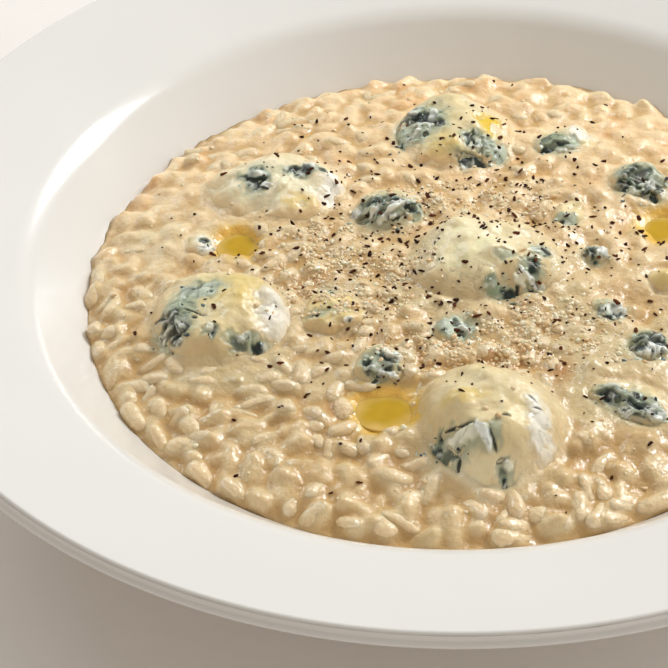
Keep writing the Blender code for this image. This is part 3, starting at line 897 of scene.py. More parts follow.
def place_grains():
    """Drop grains one by one, each at the lowest of a few seeded places, on those before it."""
    draw = random.Random(SEED)
    buckets = {}
    grains = []
    for _ in range(GRAIN_TRIES):
        tries = [tried_grain(draw, buckets) for _ in range(GRAIN_CHOICES)]
        best = min(filter(None, tries), key=lambda found: found[0], default=None)
        if best is None or best[0] > GRAIN_CAP:
            continue
        lift, grain, beads = best
        low = lift < GRAIN_SHOWN_ABOVE and math.hypot(grain.x, grain.y) < EDGE_ROW_RADIUS
        covered = low or draw.random() < HIDDEN_SHARE
        z, pitch = grain.z, grain.pitch
        if draw.random() < TILTED_SHARE:
            pitch += draw.uniform(-TILT, TILT)
            z -= TILT_SINK
        bend = draw.uniform(-GRAIN_BEND, GRAIN_BEND)
        grains.append(grain._replace(z=z, pitch=pitch, bend=bend, covered=covered))
        for (x, y), share in zip(beads, BEADS):
            bead = (x, y, z + share * grain.length * math.sin(pitch), half_height(grain.width))
            buckets.setdefault((int(x // BUCKET), int(y // BUCKET)), []).append(bead)
    return grains


def stamp_grain(heights, grain, film):
    """Raise a raster to a grain's upper face, plus a film."""
    part = window(grain.x, grain.y, 0.6 * grain.length)
    along, across = turned(RASTER_X[part] - grain.x, RASTER_Y[part] - grain.y, -grain.turn)
    along, across = along / (0.5 * grain.length), across / (0.5 * grain.width)
    across = across - grain.bend * (1 - 3 * along**2)
    dome = np.clip(1 - np.abs(along) ** 3 - across**2, 0, 1) ** 0.5
    top = grain.z + half_height(grain.width) * dome
    top += along * 0.5 * grain.length * math.sin(grain.pitch) + film
    heights[part] = np.where(dome > 0, np.maximum(heights[part], top), heights[part])


# ---------------------------------------------------------------- meshes


def mesh_object(name, points, faces, tint=None, smooth=True, **values):
    """An object in metres from points in millimetres, with a colour and values per point."""
    mesh = bpy.data.meshes.new(name)
    mesh.from_pydata((np.asarray(points) * MM).tolist(), [], faces)
    if tint is not None:
        colours = np.ones((len(points), 4), np.float32)
        colours[:, :3] = tint
        layer = mesh.attributes.new("tint", "FLOAT_COLOR", "POINT")
        layer.data.foreach_set("color", colours.ravel())
    for label, numbers in values.items():
        layer = mesh.attributes.new(label, "FLOAT", "POINT")
        layer.data.foreach_set("value", np.asarray(numbers, np.float32))
    if smooth:
        mesh.shade_smooth()
    obj = bpy.data.objects.new(name, mesh)
    bpy.context.scene.collection.objects.link(obj)
    return obj


def dress(obj, material, slot, *replaced):
    """Give a piece its material and its place in the frame."""
    obj.data.materials.append(material)
    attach(obj, "root")
    if replaced:
        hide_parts(*replaced)


def disc(steps):
    """A square grid bent into a disc: reach and angle of its points, faces, loop of its border."""
    line = np.linspace(-1, 1, steps + 1)
    a, b = np.meshgrid(line, line)
    wide = np.abs(a) > np.abs(b)
    reach = np.where(wide, a, b)
    safe = np.where(reach == 0, 1, reach)
    angle = np.where(wide, math.pi / 4 * b / safe, math.pi / 2 - math.pi / 4 * a / safe)
    angle = np.where(reach < 0, angle + math.pi, angle)
    index = np.arange((steps + 1) ** 2).reshape(steps + 1, steps + 1)
    corners = [index[:-1, :-1], index[:-1, 1:], index[1:, 1:], index[1:, :-1]]
    faces = np.stack(corners, -1).reshape(-1, 4).tolist()
    border = [*index[0, :-1], *index[:-1, -1], *index[-1, :0:-1], *index[:0:-1, 0]]
    return np.abs(reach).ravel(), angle.ravel(), faces, [int(i) for i in border]


def closed_body(points, faces, border, rings, bottom):
    """Close an upper face: rings of points go down from its border to one bottom point."""
    points = list(points)
    faces = list(faces)
    loop = border
    for ring in rings:
        lower = list(range(len(points), len(points) + len(border)))
        points += list(ring)
        faces += [[loop[i], loop[i - 1], lower[i - 1], lower[i]] for i in range(1 - len(border), 1)]
        loop = lower
    faces += [[loop[i], loop[i - 1], len(points)] for i in range(1 - len(border), 1)]
    points.append(bottom)
    return np.array(points), faces


def extended(values, body, rest):
    """Values for the points of an upper face, and one value for the rest of its body."""
    shape = (len(body) - len(values), *values.shape[1:])
    return np.concatenate([values, np.broadcast_to(rest, shape)])


def turned_body(outline, around):
    """A body turned round Z from (radius, height) points, the first and last on the axis."""
    angles = np.linspace(0, 2 * math.pi, around, endpoint=False)
    points = [(0, 0, outline[0][1])]
    for radius, height in outline[1:-1]:
        points += [(radius * math.cos(a), radius * math.sin(a), height) for a in angles]
    points.append((0, 0, outline[-1][1]))
    steps = [(i, (i + 1) % around) for i in range(around)]
    faces = [[0, 1 + after, 1 + i] for i, after in steps]
    top = 1 + (len(outline) - 3) * around
    for a in range(1, top, around):
        faces += [[a + i, a + after, a + around + after, a + around + i] for i, after in steps]
    faces += [[top + i, top + after, len(points) - 1] for i, after in steps]
    return np.array(points), faces


def rotations(turn, pitch, roll):
    """Rotation matrices, one for each set of angles."""
    ct, st, cp, sp, cr, sr = (f(a) for a in (turn, pitch, roll) for f in (np.cos, np.sin))
    rows = [
        [ct * cp, -ct * sp * sr - st * cr, -ct * sp * cr + st * sr],
        [st * cp, -st * sp * sr + ct * cr, -st * sp * cr - ct * sr],
        [sp, cp * sr, cp * cr],
    ]
    return np.moveaxis(np.array(rows), -1, 0)


def copied_faces(faces, size, copies):
    """Faces of copies of a shape with size points, joined into one mesh."""
    return [[k * size + i for i in face] for k in range(copies) for face in faces]


# ---------------------------------------------------------------- materials

# Scale and detail of the blotches in the colour and of the bumps in the wet coat
BLOTCHES = (380.0, 4.0)
GLINTS = (450.0, 2.0)
GLINT_DEPTH = 0.45

# How much the blotches darken and lighten a colour
BLOTCH_RANGE = (0.86, 1.12)

# How deep red, green and blue light enters food
LIGHT_DEPTHS = (1.0, 0.9, 0.75)
FOOD_IOR = 1.42
COAT_ROUGHNESS = 0.04
COAT_IOR = 1.65


def new_material(name):
    material = bpy.data.materials.new(name)
    material.use_nodes = True
    tree = material.node_tree
    return material, tree, tree.nodes["Principled BSDF"]


def attribute(tree, name):
    node = tree.nodes.new("ShaderNodeAttribute")
    node.attribute_name = name
    return node


def noise_node(tree, scale, detail, distortion=0.0):
    """A noise in the object's own coordinates."""
    node = tree.nodes.new("ShaderNodeTexNoise")
    coordinates = tree.nodes.new("ShaderNodeTexCoord")
    tree.links.new(coordinates.outputs["Object"], node.inputs["Vector"])
    node.inputs["Scale"].default_value = scale
    node.inputs["Detail"].default_value = detail
    node.inputs["Distortion"].default_value = distortion
    return node.outputs["Fac"]


def ranged(tree, source, low, high):
    """Map a 0 to 1 value to a range."""
    node = tree.nodes.new("ShaderNodeMapRange")
    node.inputs["To Min"].default_value = low
    node.inputs["To Max"].default_value = high
    tree.links.new(source, node.inputs["Value"])
    return node.outputs["Result"]


def varied(tree, colour, source, low, high):
    """A colour, given or from a socket, made darker and lighter by a noise."""
    node = tree.nodes.new("ShaderNodeHueSaturation")
    if isinstance(colour, bpy.types.NodeSocket):
        tree.links.new(colour, node.inputs["Color"])
    else:
        node.inputs["Color"].default_value = (*colour, 1.0)
    tree.links.new(ranged(tree, source, low, high), node.inputs["Value"])
    return node.outputs["Color"]


def bumped(tree, normal, source, strength, distance):
    """Bumps of a distance in millimetres on a normal socket."""
    node = tree.nodes.new("ShaderNodeBump")
    node.inputs["Strength"].default_value = strength
    node.inputs["Distance"].default_value = distance * MM
    tree.links.new(source, node.inputs["Height"])
    tree.links.new(node.outputs["Normal"], normal)


def set_socket(tree, socket, value):
    """Set a socket to a number, or join it to the points' values of that name."""
    if isinstance(value, str):
        tree.links.new(attribute(tree, value).outputs["Fac"], socket)
    else:
        socket.default_value = value


# Food: roughness, or the name of the points' own; how deep light goes, in millimetres; how
# much enters; scale and depth of the fine bumps; wet coat; specular level
FOOD_MATERIALS = {
    "rice": ((0.35, 0.5), 0.6, 0.7, 800, 0.5, "wet"),
    "cheese_crumbs": ((0.2, 0.35), 0.1, 0.7, 1500, 0.2, 0.6),
    "sauce": ((0.35, 0.5), 0.8, 0.8, 550, 0.55, "wet"),
    "cheese": ("rough", 0.5, "soft", 500, 0.3, 0.3, 0.3),
    "golden_oil": ((0.03, 0.05), 1.5, 0.5, 300, 0.0, 0.0),
    "pepper": ((0.6, 0.8), 0.2, 0.0, 2000, 0.05, 0.0, 0.15),
}

# The glaze: scale and detail of its clouds and ripples, how far the clouds change its colour
# and its roughness
GLAZE_CLOUDS = (30.0, 3.0)
GLAZE_RIPPLES = (55.0, 2.0)
GLAZE_RANGE = (0.97, 1.02)
GLAZE_ROUGHNESS = (0.16, 0.26)


def soft_material(name, rough, spread, weight, grain, bump, coat, specular=0.5):
    """Food that light enters, coloured by its points: rough is a range or the name of the
    points' values, weight and coat are numbers or such names."""
    material, tree, shader = new_material(name)
    tint = attribute(tree, "tint").outputs["Color"]
    colour = varied(tree, tint, noise_node(tree, *BLOTCHES), *BLOTCH_RANGE)
    tree.links.new(colour, shader.inputs["Base Color"])
    fine = noise_node(tree, grain, 3.0)
    if isinstance(rough, str):
        set_socket(tree, shader.inputs["Roughness"], rough)
    else:
        tree.links.new(ranged(tree, fine, *rough), shader.inputs["Roughness"])
    set_socket(tree, shader.inputs["Subsurface Weight"], weight)
    bumped(tree, shader.inputs["Normal"], fine, 1.0, bump)
    if coat:
        glints = noise_node(tree, *GLINTS, distortion=1.0)
        bumped(tree, shader.inputs["Coat Normal"], glints, 1.0, GLINT_DEPTH)
    set_socket(tree, shader.inputs["Coat Weight"], coat)
    shader.inputs["Subsurface Radius"].default_value = LIGHT_DEPTHS
    shader.inputs["Subsurface Scale"].default_value = spread * MM
    shader.inputs["IOR"].default_value = FOOD_IOR
    shader.inputs["Specular IOR Level"].default_value = specular
    shader.inputs["Coat Roughness"].default_value = COAT_ROUGHNESS
    shader.inputs["Coat IOR"].default_value = COAT_IOR
    return material


def glaze_material():
    """White glaze with faint clouds and ripples."""
    material, tree, shader = new_material("glazed_white")
    clouds = noise_node(tree, *GLAZE_CLOUDS)
    colour = varied(tree, GLAZE_WHITE, clouds, *GLAZE_RANGE)
    tree.links.new(colour, shader.inputs["Base Color"])
    ripple = noise_node(tree, *GLAZE_RIPPLES)
    tree.links.new(ranged(tree, clouds, *GLAZE_ROUGHNESS), shader.inputs["Roughness"])
    bumped(tree, shader.inputs["Normal"], ripple, 0.5, 0.25)
    shader.inputs["Coat Weight"].default_value = 0.3
    shader.inputs["Coat Roughness"].default_value = 0.08
    return material


# ---------------------------------------------------------------- the plate


def rounded(corners):
    """An outline through (radius, height, rounding) corners, with an arc at each one."""
    outline = [Vector(corners[0][:2])]
    for before, corner, after in zip(corners, corners[1:], corners[2:]):
        point = Vector(corner[:2])
        towards_before = (Vector(before[:2]) - point).normalized()
        towards_after = (Vector(after[:2]) - point).normalized()
        turn = math.pi - towards_before.angle(towards_after)
        if corner[2] == 0 or turn < 0.01:
            outline.append(point)
            continue
        reach = corner[2] * math.tan(turn / 2)
        middle = (towards_before + towards_after).normalized()
        centre = point + middle * corner[2] / math.cos(turn / 2)
        first = point + towards_before * reach - centre
        steps = max(2, round(math.degrees(turn) / ARC_STEP))
        last = point + towards_after * reach - centre
        sense = 1 if first.x * last.y - first.y * last.x > 0 else -1
        for step in range(steps + 1):
            outline.append(centre + Matrix.Rotation(sense * turn * step / steps, 2) @ first)
    outline.append(Vector(corners[-1][:2]))
    return outline


def build_plate():
    """A turned plate with a foot ring, a grooved lip edge, a rim, a wall and a well floor."""
    run = SHOULDER_RADIUS - WALL_FOOT_RADIUS
    rise = SHOULDER_HEIGHT - WELL_FLOOR
    across = WALL_THICKNESS * rise / math.hypot(run, rise)
    down = WALL_THICKNESS * run / math.hypot(run, rise)
    lean = 0.5 * FOOT_RING_HEIGHT
    bend = (SHOULDER_RADIUS + RIM_BEND_OUT * across, SHOULDER_HEIGHT - RIM_BEND_DOWN * down)
    corners = [
        (0, FOOT_RING_HEIGHT, 0),
        (FOOT_RING_INNER - lean, FOOT_RING_HEIGHT, FOOT_RING_ROUNDING),
        (FOOT_RING_INNER, 0, FOOT_INNER_ROUNDING),
        (FOOT_RING_OUTER, 0, FOOT_RING_ROUNDING),
        (FOOT_RING_OUTER + lean, FOOT_RING_HEIGHT, FOOT_OUTER_ROUNDING),
        (WALL_FOOT_RADIUS + across, WELL_FLOOR - down, UNDERSIDE_ROUNDING),
        (*bend, UNDERSIDE_ROUNDING),
    ]
    corners += [
        (PLATE_RADIUS - inset, LIP_HEIGHT - depth, curve) for inset, depth, curve in GROOVED_EDGE
    ]
    corners += [
        (SHOULDER_RADIUS, SHOULDER_HEIGHT, SHOULDER_ROUNDING),
        (WALL_FOOT_RADIUS, WELL_FLOOR, WALL_FOOT_ROUNDING),
        (0, WELL_FLOOR, 0),
    ]
    plate = mesh_object("plate_glazed", *turned_body(rounded(corners), PLATE_SEGMENTS))
    dress(plate, glaze_material(), "glazed_white", "plate")


# ---------------------------------------------------------------- sauce, rice, cheese, oil

# Heights and radii of the rings that close the sauce below, just inside the well
SAUCE_UNDERSIDE = ((15.0, 88.9), (9.5, 83.0), (7.2, 74.0))

# The uneven edge of the sauce: height of its waves, and the circle they are read from
EDGE_WOBBLE = 0.5
WOBBLE_RADIUS = 40

# The mesh of a grain, how far grains roll, and how far one has to stand out to be made
RICE_AROUND = 9
RICE_RINGS = 8
RICE_ROLL = 0.3
SHOWN_OVER_SAUCE = 0.03

# The mesh of a lump: width of its squares, how far it goes past the outline, how deep it
# sits in the core
LUMP_MESH_STEP = 0.3
LUMP_MESH_REACH = 1.03
LUMP_SINK = 0.4

# Relief stands on the lump's slope, read over this way and up to this steepness
LEAN_STEP = 0.4
MOST_LEAN = 1.5

# How much light enters cheese, and how much less bare spots let in
CHEESE_SOFTNESS = 0.8
SPOT_DULLING = 0.75

# A pool: its mesh, how far it lies over the sauce's own height, how far it bulges, and how
# deep it goes at its edge and in its middle
POOL_STEPS = 36
POOL_MESH_REACH = 1.04
POOL_LIFT = 0.1
POOL_BULGE = 0.1
POOL_EDGE_DEPTH = 0.8
POOL_MIDDLE_DEPTH = 1.4

# Blotches in the sauce's colour: their size, seed and finer layers
HONEY_BLOTCHES = (11.0, 17, 2)
ORANGE_BLOTCHES = (7.5, 23, 2)


def sauce_colours(x, y, hollow, melts, near):
    """The sauce's colour: golden and darker in the gaps between grains, as golden sauce with
    painted shade there, cream where thick or near the cheese.
    """
    cream = cream_colours(x, y)
    back = smoothstep(0, 60, y)
    # The gaps between grains take deeper gold: golden sauce and painted shade
    gap_gold_and_shade = smoothstep(-0.2, 0.6, hollow + 0.2 * noise(x, y, 5, 3))
    honey = smoothstep(0.1, 0.9, rough_noise(x, y, *HONEY_BLOTCHES))
    orange = smoothstep(0.25, 1.0, rough_noise(x, y, *ORANGE_BLOTCHES))
    tint = layered(
        cream,
        (SAUCE_GOLD_AND_SHADE, 0.85 * gap_gold_and_shade),
        (MELT_CREAM, 0.7 * frontness(y) * smoothstep(0.4, 1.4, melts)),
        (SAUCE_GOLD_AND_SHADE, (0.5 - 0.25 * back) * honey),
        (SAUCE_ORANGE, (0.1 + 0.4 * back) * orange),
    )
    for spot in AMBER_SPOTS:
        away = oval_reach(spot, x + noise(x, y, 3.0, 6), y)
        tint = mix(tint, SAUCE_AMBER, 0.8 * smoothstep(1.4, 0.2, away))
    tint = mix(tint, cream, near)
    for pool in POOLS.values():
        away = oval_reach(pool, x, y) + 0.2 * noise(x, y, 4.0, 19)
        # Oil-soaked gold round each pool; the inner rim is lightened as painted light over the
        # shaded wall of the dip
        edge, rim = 0.8 * smoothstep(1.9, 1.0, away), 0.9 * smoothstep(1.35, 1.0, away)
        tint = layered(tint, (OIL_EDGE, edge), (OIL_RIM_AND_PAINTED_LIGHT, rim))
    return tint


def build_sauce(heights, mean, melts, near, deep, stain, material):
    """The body of the heap: sauce above, shaped like the dish below. The rasters hold its
    height, its mean height, the melts on it, nearness to cheese, and mould."""
    reach, angle, faces, border = disc(SAUCE_STEPS)
    x = WALL_CONTACT_RADIUS * reach * np.cos(angle)
    y = WALL_CONTACT_RADIUS * reach * np.sin(angle)
    z = read(heights, x, y)
    wobble = noise(WOBBLE_RADIUS * np.cos(angle), WOBBLE_RADIUS * np.sin(angle), 7.0, 4)
    z += EDGE_WOBBLE * wobble * smoothstep(0.97, 1.0, reach)
    out = np.where(reach > 0.9999, wall_radius(z) / WALL_CONTACT_RADIUS, 1.0)
    points = np.stack([x * out, y * out, z], -1)
    stained = read(stain, x, y)
    tint = layered(
        sauce_colours(x, y, read(mean, x, y) - z, read(melts, x, y), read(near, x, y)),
        (CHEESE_CREAM, 0.65 * read(deep, x, y)),
        (VEIN_HALO, 0.6 * smoothstep(0.0, 0.4, stained)),
        (VEIN_SHADE, 0.6 * smoothstep(0.3, 0.8, stained)),
        # A darker gold band where the sauce meets the wall: painted shade in the crease, with the
        # sauce's film line
        (SAUCE_GOLD_AND_SHADE * 0.75, 0.7 * smoothstep(0.985, 1.0, reach)),
    )
    rings = []
    for height, radius in SAUCE_UNDERSIDE:
        ring = points[border]
        ring[:, :2] *= (radius / np.hypot(ring[:, 0], ring[:, 1]))[:, None]
        ring[:, 2] = height
        rings.append(ring)
    body, faces = closed_body(points, faces, border, rings, (0, 0, SAUCE_UNDERSIDE[-1][0]))
    tint = extended(tint, body, SAUCE_GOLD_AND_SHADE)
    sauce = mesh_object("sauce", body, faces, tint, wet=wetness(body[:, 0], body[:, 1]))
    dress(sauce, material, "rice_cream", "risotto")


def grain_shape():
    """A grain of rice along X, one unit in half size: plump, with blunt uneven ends."""
    outline = [(0, -1.0)]
    for s in -np.cos(np.linspace(0, math.pi, RICE_RINGS + 2))[1:-1]:
        outline.append(((1 - abs(s) ** 3.2) ** 0.5 * (1 - 0.08 * s), s))
    points, faces = turned_body([*outline, (0, 1.0)], RICE_AROUND)
    return np.roll(points, 1, axis=1), faces


def build_grains(grains, heights, material):
    """The grains that stand out of the sauce, as one mesh."""
    shape, faces = grain_shape()
    shown = []
    for grain in grains:
        over = grain.z + half_height(grain.width) - float(read(heights, grain.x, grain.y))
        if not grain.covered and over > SHOWN_OVER_SAUCE:
            shown.append(grain)
    count = len(shown)
    x, y, z, turn, pitch, length, width, bend = np.array([grain[:8] for grain in shown]).T
    draw = np.random.default_rng(SEED)
    sizes = np.stack([0.5 * length, 0.5 * width, half_height(width)], -1)
    bent = np.repeat(shape[None], count, 0)
    bent[:, :, 1] += bend[:, None] * (1 - 3 * shape[None, :, 0] ** 2)
    phase = draw.uniform(0, 6.28, (4, count, 1))
    around = np.arctan2(shape[None, :, 2], shape[None, :, 1])
    lumpy = 1 + 0.1 * np.sin(2.6 * shape[None, :, 0] + phase[0])
    lumpy += 0.06 * np.sin(6 * shape[None, :, 0] + phase[1] + around)
    lumpy += 0.08 * np.cos(2 * around + phase[2]) + 0.08 * np.cos(3 * around + phase[3])
    bent[:, :, 1:] *= lumpy[:, :, None]
    turns = rotations(turn, pitch, draw.uniform(-RICE_ROLL, RICE_ROLL, count))
    points = np.einsum("nij,nvj->nvi", turns, bent * sizes[:, None, :])
    up = points[:, :, 2] / sizes[:, None, 2]
    points = (points + np.stack([x, y, z], -1)[:, None, :]).reshape(-1, 3)
    tone = draw.uniform(0, 1, count)[:, None]
    tips = smoothstep(0.55, 1.0, np.abs(shape[None, :, 0])) * draw.uniform(0, 1, (count, 1))
    tint = layered(
        GRAIN_CREAM,
        (SAUCE_PEACH, 0.35 * tone),
        (GRAIN_WHITE, 0.6 * tips),
        # Lighter tops: the grain's white core and painted light; gold undersides: sauce coating and
        # painted shade
        (GRAIN_WHITE, 0.2 * (1 - tone) * smoothstep(0.2, 1.0, up)),
        (SAUCE_GOLD_AND_SHADE, 0.65 * smoothstep(0.5, -0.4, up)),
    )
    joined = copied_faces(faces, len(shape), count)
    wet = wetness(points[:, 0], points[:, 1])
    rice = mesh_object("rice_grains", points, joined, tint.reshape(-1, 3), wet=wet)
    dress(rice, material, "rice_cream")


def build_lump(name, material):
    """One lump of cheese: a closed body whose upper face has the lump's spots and cracks."""
    lump = LUMPS[name]
    steps = int(2 * max(lump.half_width, lump.half_depth) / LUMP_MESH_STEP)
    share, angle, faces, border = disc(steps)
    x, y = lump_point(lump, LUMP_MESH_REACH * (1 - (1 - share) ** 1.25), angle)
    height, _ = lump_dome(name, x, y)
    relief, tint, rough, bare, _ = lump_surface(name, x, y)
    leans = []
    for dx, dy in ((LEAN_STEP, 0), (0, LEAN_STEP)):
        fall = lump_dome(name, x - dx, y - dy)[0] - lump_dome(name, x + dx, y + dy)[0]
        leans.append(np.clip(fall / (2 * LEAN_STEP), -MOST_LEAN, MOST_LEAN))
    normal = np.stack([*leans, np.ones(x.shape)], -1)
    normal /= np.linalg.norm(normal, axis=-1)[:, None]
    points = np.stack([x, y, height], -1) + normal * relief[:, None]
    foot = points[border]
    foot[:, 2] = level(foot[:, 0], foot[:, 1]) - LUMP_SINK
    bottom = (lump.x, lump.y, float(level(lump.x, lump.y)) - LUMP_SINK)
    body, faces = closed_body(points, faces, border, [foot], bottom)
    values = {
        "rough": extended(rough, body, CHEESE_ROUGHNESS),
        "soft": extended(CHEESE_SOFTNESS - SPOT_DULLING * bare, body, CHEESE_SOFTNESS),
    }
    piece = mesh_object(name + "_melted", body, faces, extended(tint, body, MELT_CREAM), **values)
    dress(piece, material, "blue_cheese", name)


def build_pool(name, pool, material):
    """A pool of oil with a soft uneven edge, lying in its dip."""
    reach, angle, faces, border = disc(POOL_STEPS)
    x = pool.x + pool.half_width * reach * POOL_MESH_REACH * np.cos(angle)
    y = pool.y + pool.half_depth * reach * POOL_MESH_REACH * np.sin(angle)
    z = np.full(x.shape, float(np.min(level(x, y)))) + SAUCE_RISE + POOL_LIFT
    z += POOL_BULGE * (1 - reach**2) + 0.03 * noise(x, y, 3.0, 9)
    shallow = reach + 0.15 * noise(x, y, 3.0, SEED + int(pool.x))
    tint = mix(OIL_GOLD, OIL_EDGE, smoothstep(0.45, 1.05, shallow))
    points = np.stack([x, y, z], -1)
    foot = points[border]
    foot[:, 2] -= POOL_EDGE_DEPTH
    bottom = (pool.x, pool.y, float(z.min()) - POOL_MIDDLE_DEPTH)
    body, faces = closed_body(points, faces, border, [foot], bottom)
    piece = mesh_object(name + "_pool", body, faces, extended(tint, body, OIL_GOLD))
    dress(piece, material, "oil", name)


# ---------------------------------------------------------------- pepper and grated cheese

CHIP_POINTS = 14
CHIP_BULK = (0.6, 1.15)

# Places are drawn in a square this far from the middle and kept within this radius
STREWN_SQUARE = 90.0
STREWN_RADIUS = 88.0
PEPPER_COUNT = 800
GRATING_COUNT = 2600

# Mould flecks round a spot: how many for its size, where they lie in its reaches, and how
# much wider that is than the spot
FLECKS_PER_MILLIMETRE = 0.6
FLECK_REACHES = (0.6, 1.35)
FLECK_MARGIN = 0.6

# Strewn chips: seed, seed and flatness of their shape, smallest half size, how much larger
# they get, how rare the large ones are, length over width, height over width, one lift off
# the food or the ends of its range in half sizes, largest pitch and roll
Chips = namedtuple("Chips", "seed shape flat least more rarity lengths height lifts pitch roll")

PEPPER = Chips(5, 3, 0.6, 0.26, 0.4, 2.0, (1.0, 3.0), 1.0, (0.25,), 0.3, 0.5)
GRATINGS = Chips(9, 8, 0.9, 0.3, 0.7, 1.8, (0.9, 1.6), 0.8, (0.1, -0.5), 0.6, 0.6)
FLECKS = Chips(14, 5, 0.5, 0.2, 0.5, 1.6, (1.0, 2.2), 1.0, (-0.3, 0.2), 0.4, 0.5)


def chip_shape(seed, flat):
    """A small angular chip, one unit in half size."""
    draw = random.Random(seed)
    golden = math.pi * (3 - math.sqrt(5))
    points = []
    for i in range(CHIP_POINTS):
        z = 1 - 2 * (i + 0.5) / CHIP_POINTS
        bulk = draw.uniform(*CHIP_BULK)
        ring = bulk * math.sqrt(1 - z * z)
        points.append((ring * math.cos(golden * i), ring * math.sin(golden * i), bulk * z * flat))
    return points


def hull(points):
    """Points and triangles of the convex hull."""
    bm = bmesh.new()
    for point in points:
        bm.verts.new(point)
    result = bmesh.ops.convex_hull(bm, input=bm.verts)
    loose = [v for v in result["geom_interior"] if isinstance(v, bmesh.types.BMVert)]
    bmesh.ops.delete(bm, geom=loose, context="VERTS")
    bmesh.ops.triangulate(bm, faces=bm.faces)
    bm.verts.index_update()
    shape = np.array([v.co[:] for v in bm.verts])
    faces = [[v.index for v in face.verts] for face in bm.faces]
    bm.free()
    return shape, faces


def drawn_places(density, count, draw):
    """Plan positions drawn by a density from 0 to 1."""
    places = []
    while len(places) < count:
        x, y = draw.uniform(-STREWN_SQUARE, STREWN_SQUARE, 2)
        if math.hypot(x, y) < STREWN_RADIUS and draw.random() < density(x, y):
            places.append((x, y))
    return places


def strewn(chips, places, top, draw):
    """Chips at plan positions on top of the food: points, faces, and a tone for each point."""
    shape, faces = hull(chip_shape(chips.shape, chips.flat))
    places = np.array(places)
    count = len(places)
    size = chips.least + chips.more * draw.random(count) ** chips.rarity
    sizes = np.stack([size * draw.uniform(*chips.lengths, count), size, size * chips.height], -1)
    lift = chips.lifts[0]
    if len(chips.lifts) > 1:
        lift = lift + (chips.lifts[1] - lift) * draw.random(count)
    z = read(top, places[:, 0], places[:, 1]) + lift * size
    ranges = ((0, 6.28), (-chips.pitch, chips.pitch), (-chips.roll, chips.roll))
    turns = rotations(*(draw.uniform(low, high, count) for low, high in ranges))
    spun = np.einsum("nij,nvj->nvi", turns, shape[None] * sizes[:, None, :])
    points = (spun + np.column_stack([places, z])[:, None, :]).reshape(-1, 3)
    tone = np.repeat(draw.random(count), len(shape))
    return points, copied_faces(faces, len(shape), count), tone


def build_pepper(top, material):
    """Coarse black pepper, strewn over the middle."""
    draw = np.random.default_rng(SEED + PEPPER.seed)

    def density(x, y):
        away = oval_reach(PEPPER_FIELD, x, y)
        return math.exp(-(away**2.4)) * (0.55 + 0.45 * float(noise(x, y, 12, 21))) + 0.012

    places = drawn_places(density, PEPPER_COUNT, draw)
    points, faces, tone = strewn(PEPPER, places, top, draw)
    tint = mix(PEPPER_BLACK, PEPPER_BROWN, 0.6 * tone**2)
    dress(mesh_object("pepper", points, faces, tint, smooth=False), material, "rice_cream")


def build_gratings(top, blue, material):
    """Fine crumbs of grated cheese in loose drifts."""
    draw = np.random.default_rng(SEED + GRATINGS.seed)

    def density(x, y):
        close = max(math.exp(-(oval_reach(drift, x, y) ** 3)) for drift in GRATING_DRIFTS)
        clump = 0.5 + 0.5 * float(noise(x, y, 4.0, 31))
        return (close * clump**2.2 + 0.002) * (1 - min(1.0, 1.5 * float(read(blue, x, y))))

    places = drawn_places(density, GRATING_COUNT, draw)
    points, faces, tone = strewn(GRATINGS, places, top, draw)
    tint = mix(GRATING_PALE, GRATING_TAN, tone)
    dress(mesh_object("grated_cheese", points, faces, tint), material, "blue_cheese")


def build_flecks(top, material):
    """Bits of blue mould that have come off the lumps and lie beside the veins."""
    draw = np.random.default_rng(SEED + FLECKS.seed)
    places = []
    for spot in (spot for spots in SPOTS.values() for spot in spots):
        if LOOKS[spot.look].streak < MOULDY_STREAK:
            continue
        for _ in range(int(1 + FLECKS_PER_MILLIMETRE * (spot.half_width + spot.half_depth))):
            away, angle = draw.uniform(*FLECK_REACHES), draw.uniform(0, 2 * math.pi)
            across = (spot.half_width + FLECK_MARGIN) * away * math.cos(angle)
            deep = (spot.half_depth + FLECK_MARGIN) * away * math.sin(angle)
            x, y = turned(across, deep, math.radians(spot.turn))
            places.append((spot.x + x, spot.y + y))
    points, faces, tone = strewn(FLECKS, places, top, draw)
    teal, pale = smoothstep(0.1, 0.3, tone), smoothstep(0.35, 0.6, tone)
    tint = layered(VEIN_BLACK, (VEIN_TEAL, teal), (VEIN_PALE, pale))
    dress(mesh_object("mould_flecks", points, faces, tint, smooth=False), material, "blue_cheese")


# ---------------------------------------------------------------- the food

# Raster heights where there is nothing, below and above all food
NOTHING = -1.0
NO_LIMIT = 99.0

# How far the sauce is drawn up round the lumps and over the grains it hides, the film on
# those, and the way from its edge over which its back rises
LUMP_DRAPE = 1.9
HIDDEN_DRAPE = 0.45
HIDDEN_FILM = 0.1
BACK_SLOPE = 12.0

# The sauce over the grains that show: how far it is drawn up, its film, and what the
# unevenness and the cream add to the film
SHOWN_DRAPES = ((1.6, -0.42, 0.3, 0.35), (0.8, -0.17, 0.0, 0.25), (0.4, -0.15, 0.3, 0.55))
LAST_BLUR = 0.42

# Waves in that film; small relief of the sauce, what cream adds to it, and its size; more of
# it towards the back, its size, and where the back begins and is reached
FILM_WAVES = 8.0
RELIEF = (0.14, 0.08, 2.8)
BACK_RELIEF = (0.22, 2.2)
BACK_RANGE = (10, 65)

# How far mould stains the sauce and keeps grated cheese away, and how far round it the
# sauce's height and the cheese's nearness are taken
STAIN_BLUR = 1.9
GRATING_BLUR = 0.8
MEAN_BLUR = 2.2
CHEESE_BLUR = 2.5

# Share of cheese round a place from which it is near the cheese, and deep in it
NEAR_CHEESE = (0.08, 0.5)
DEEP_CHEESE = (0.55, 0.9)


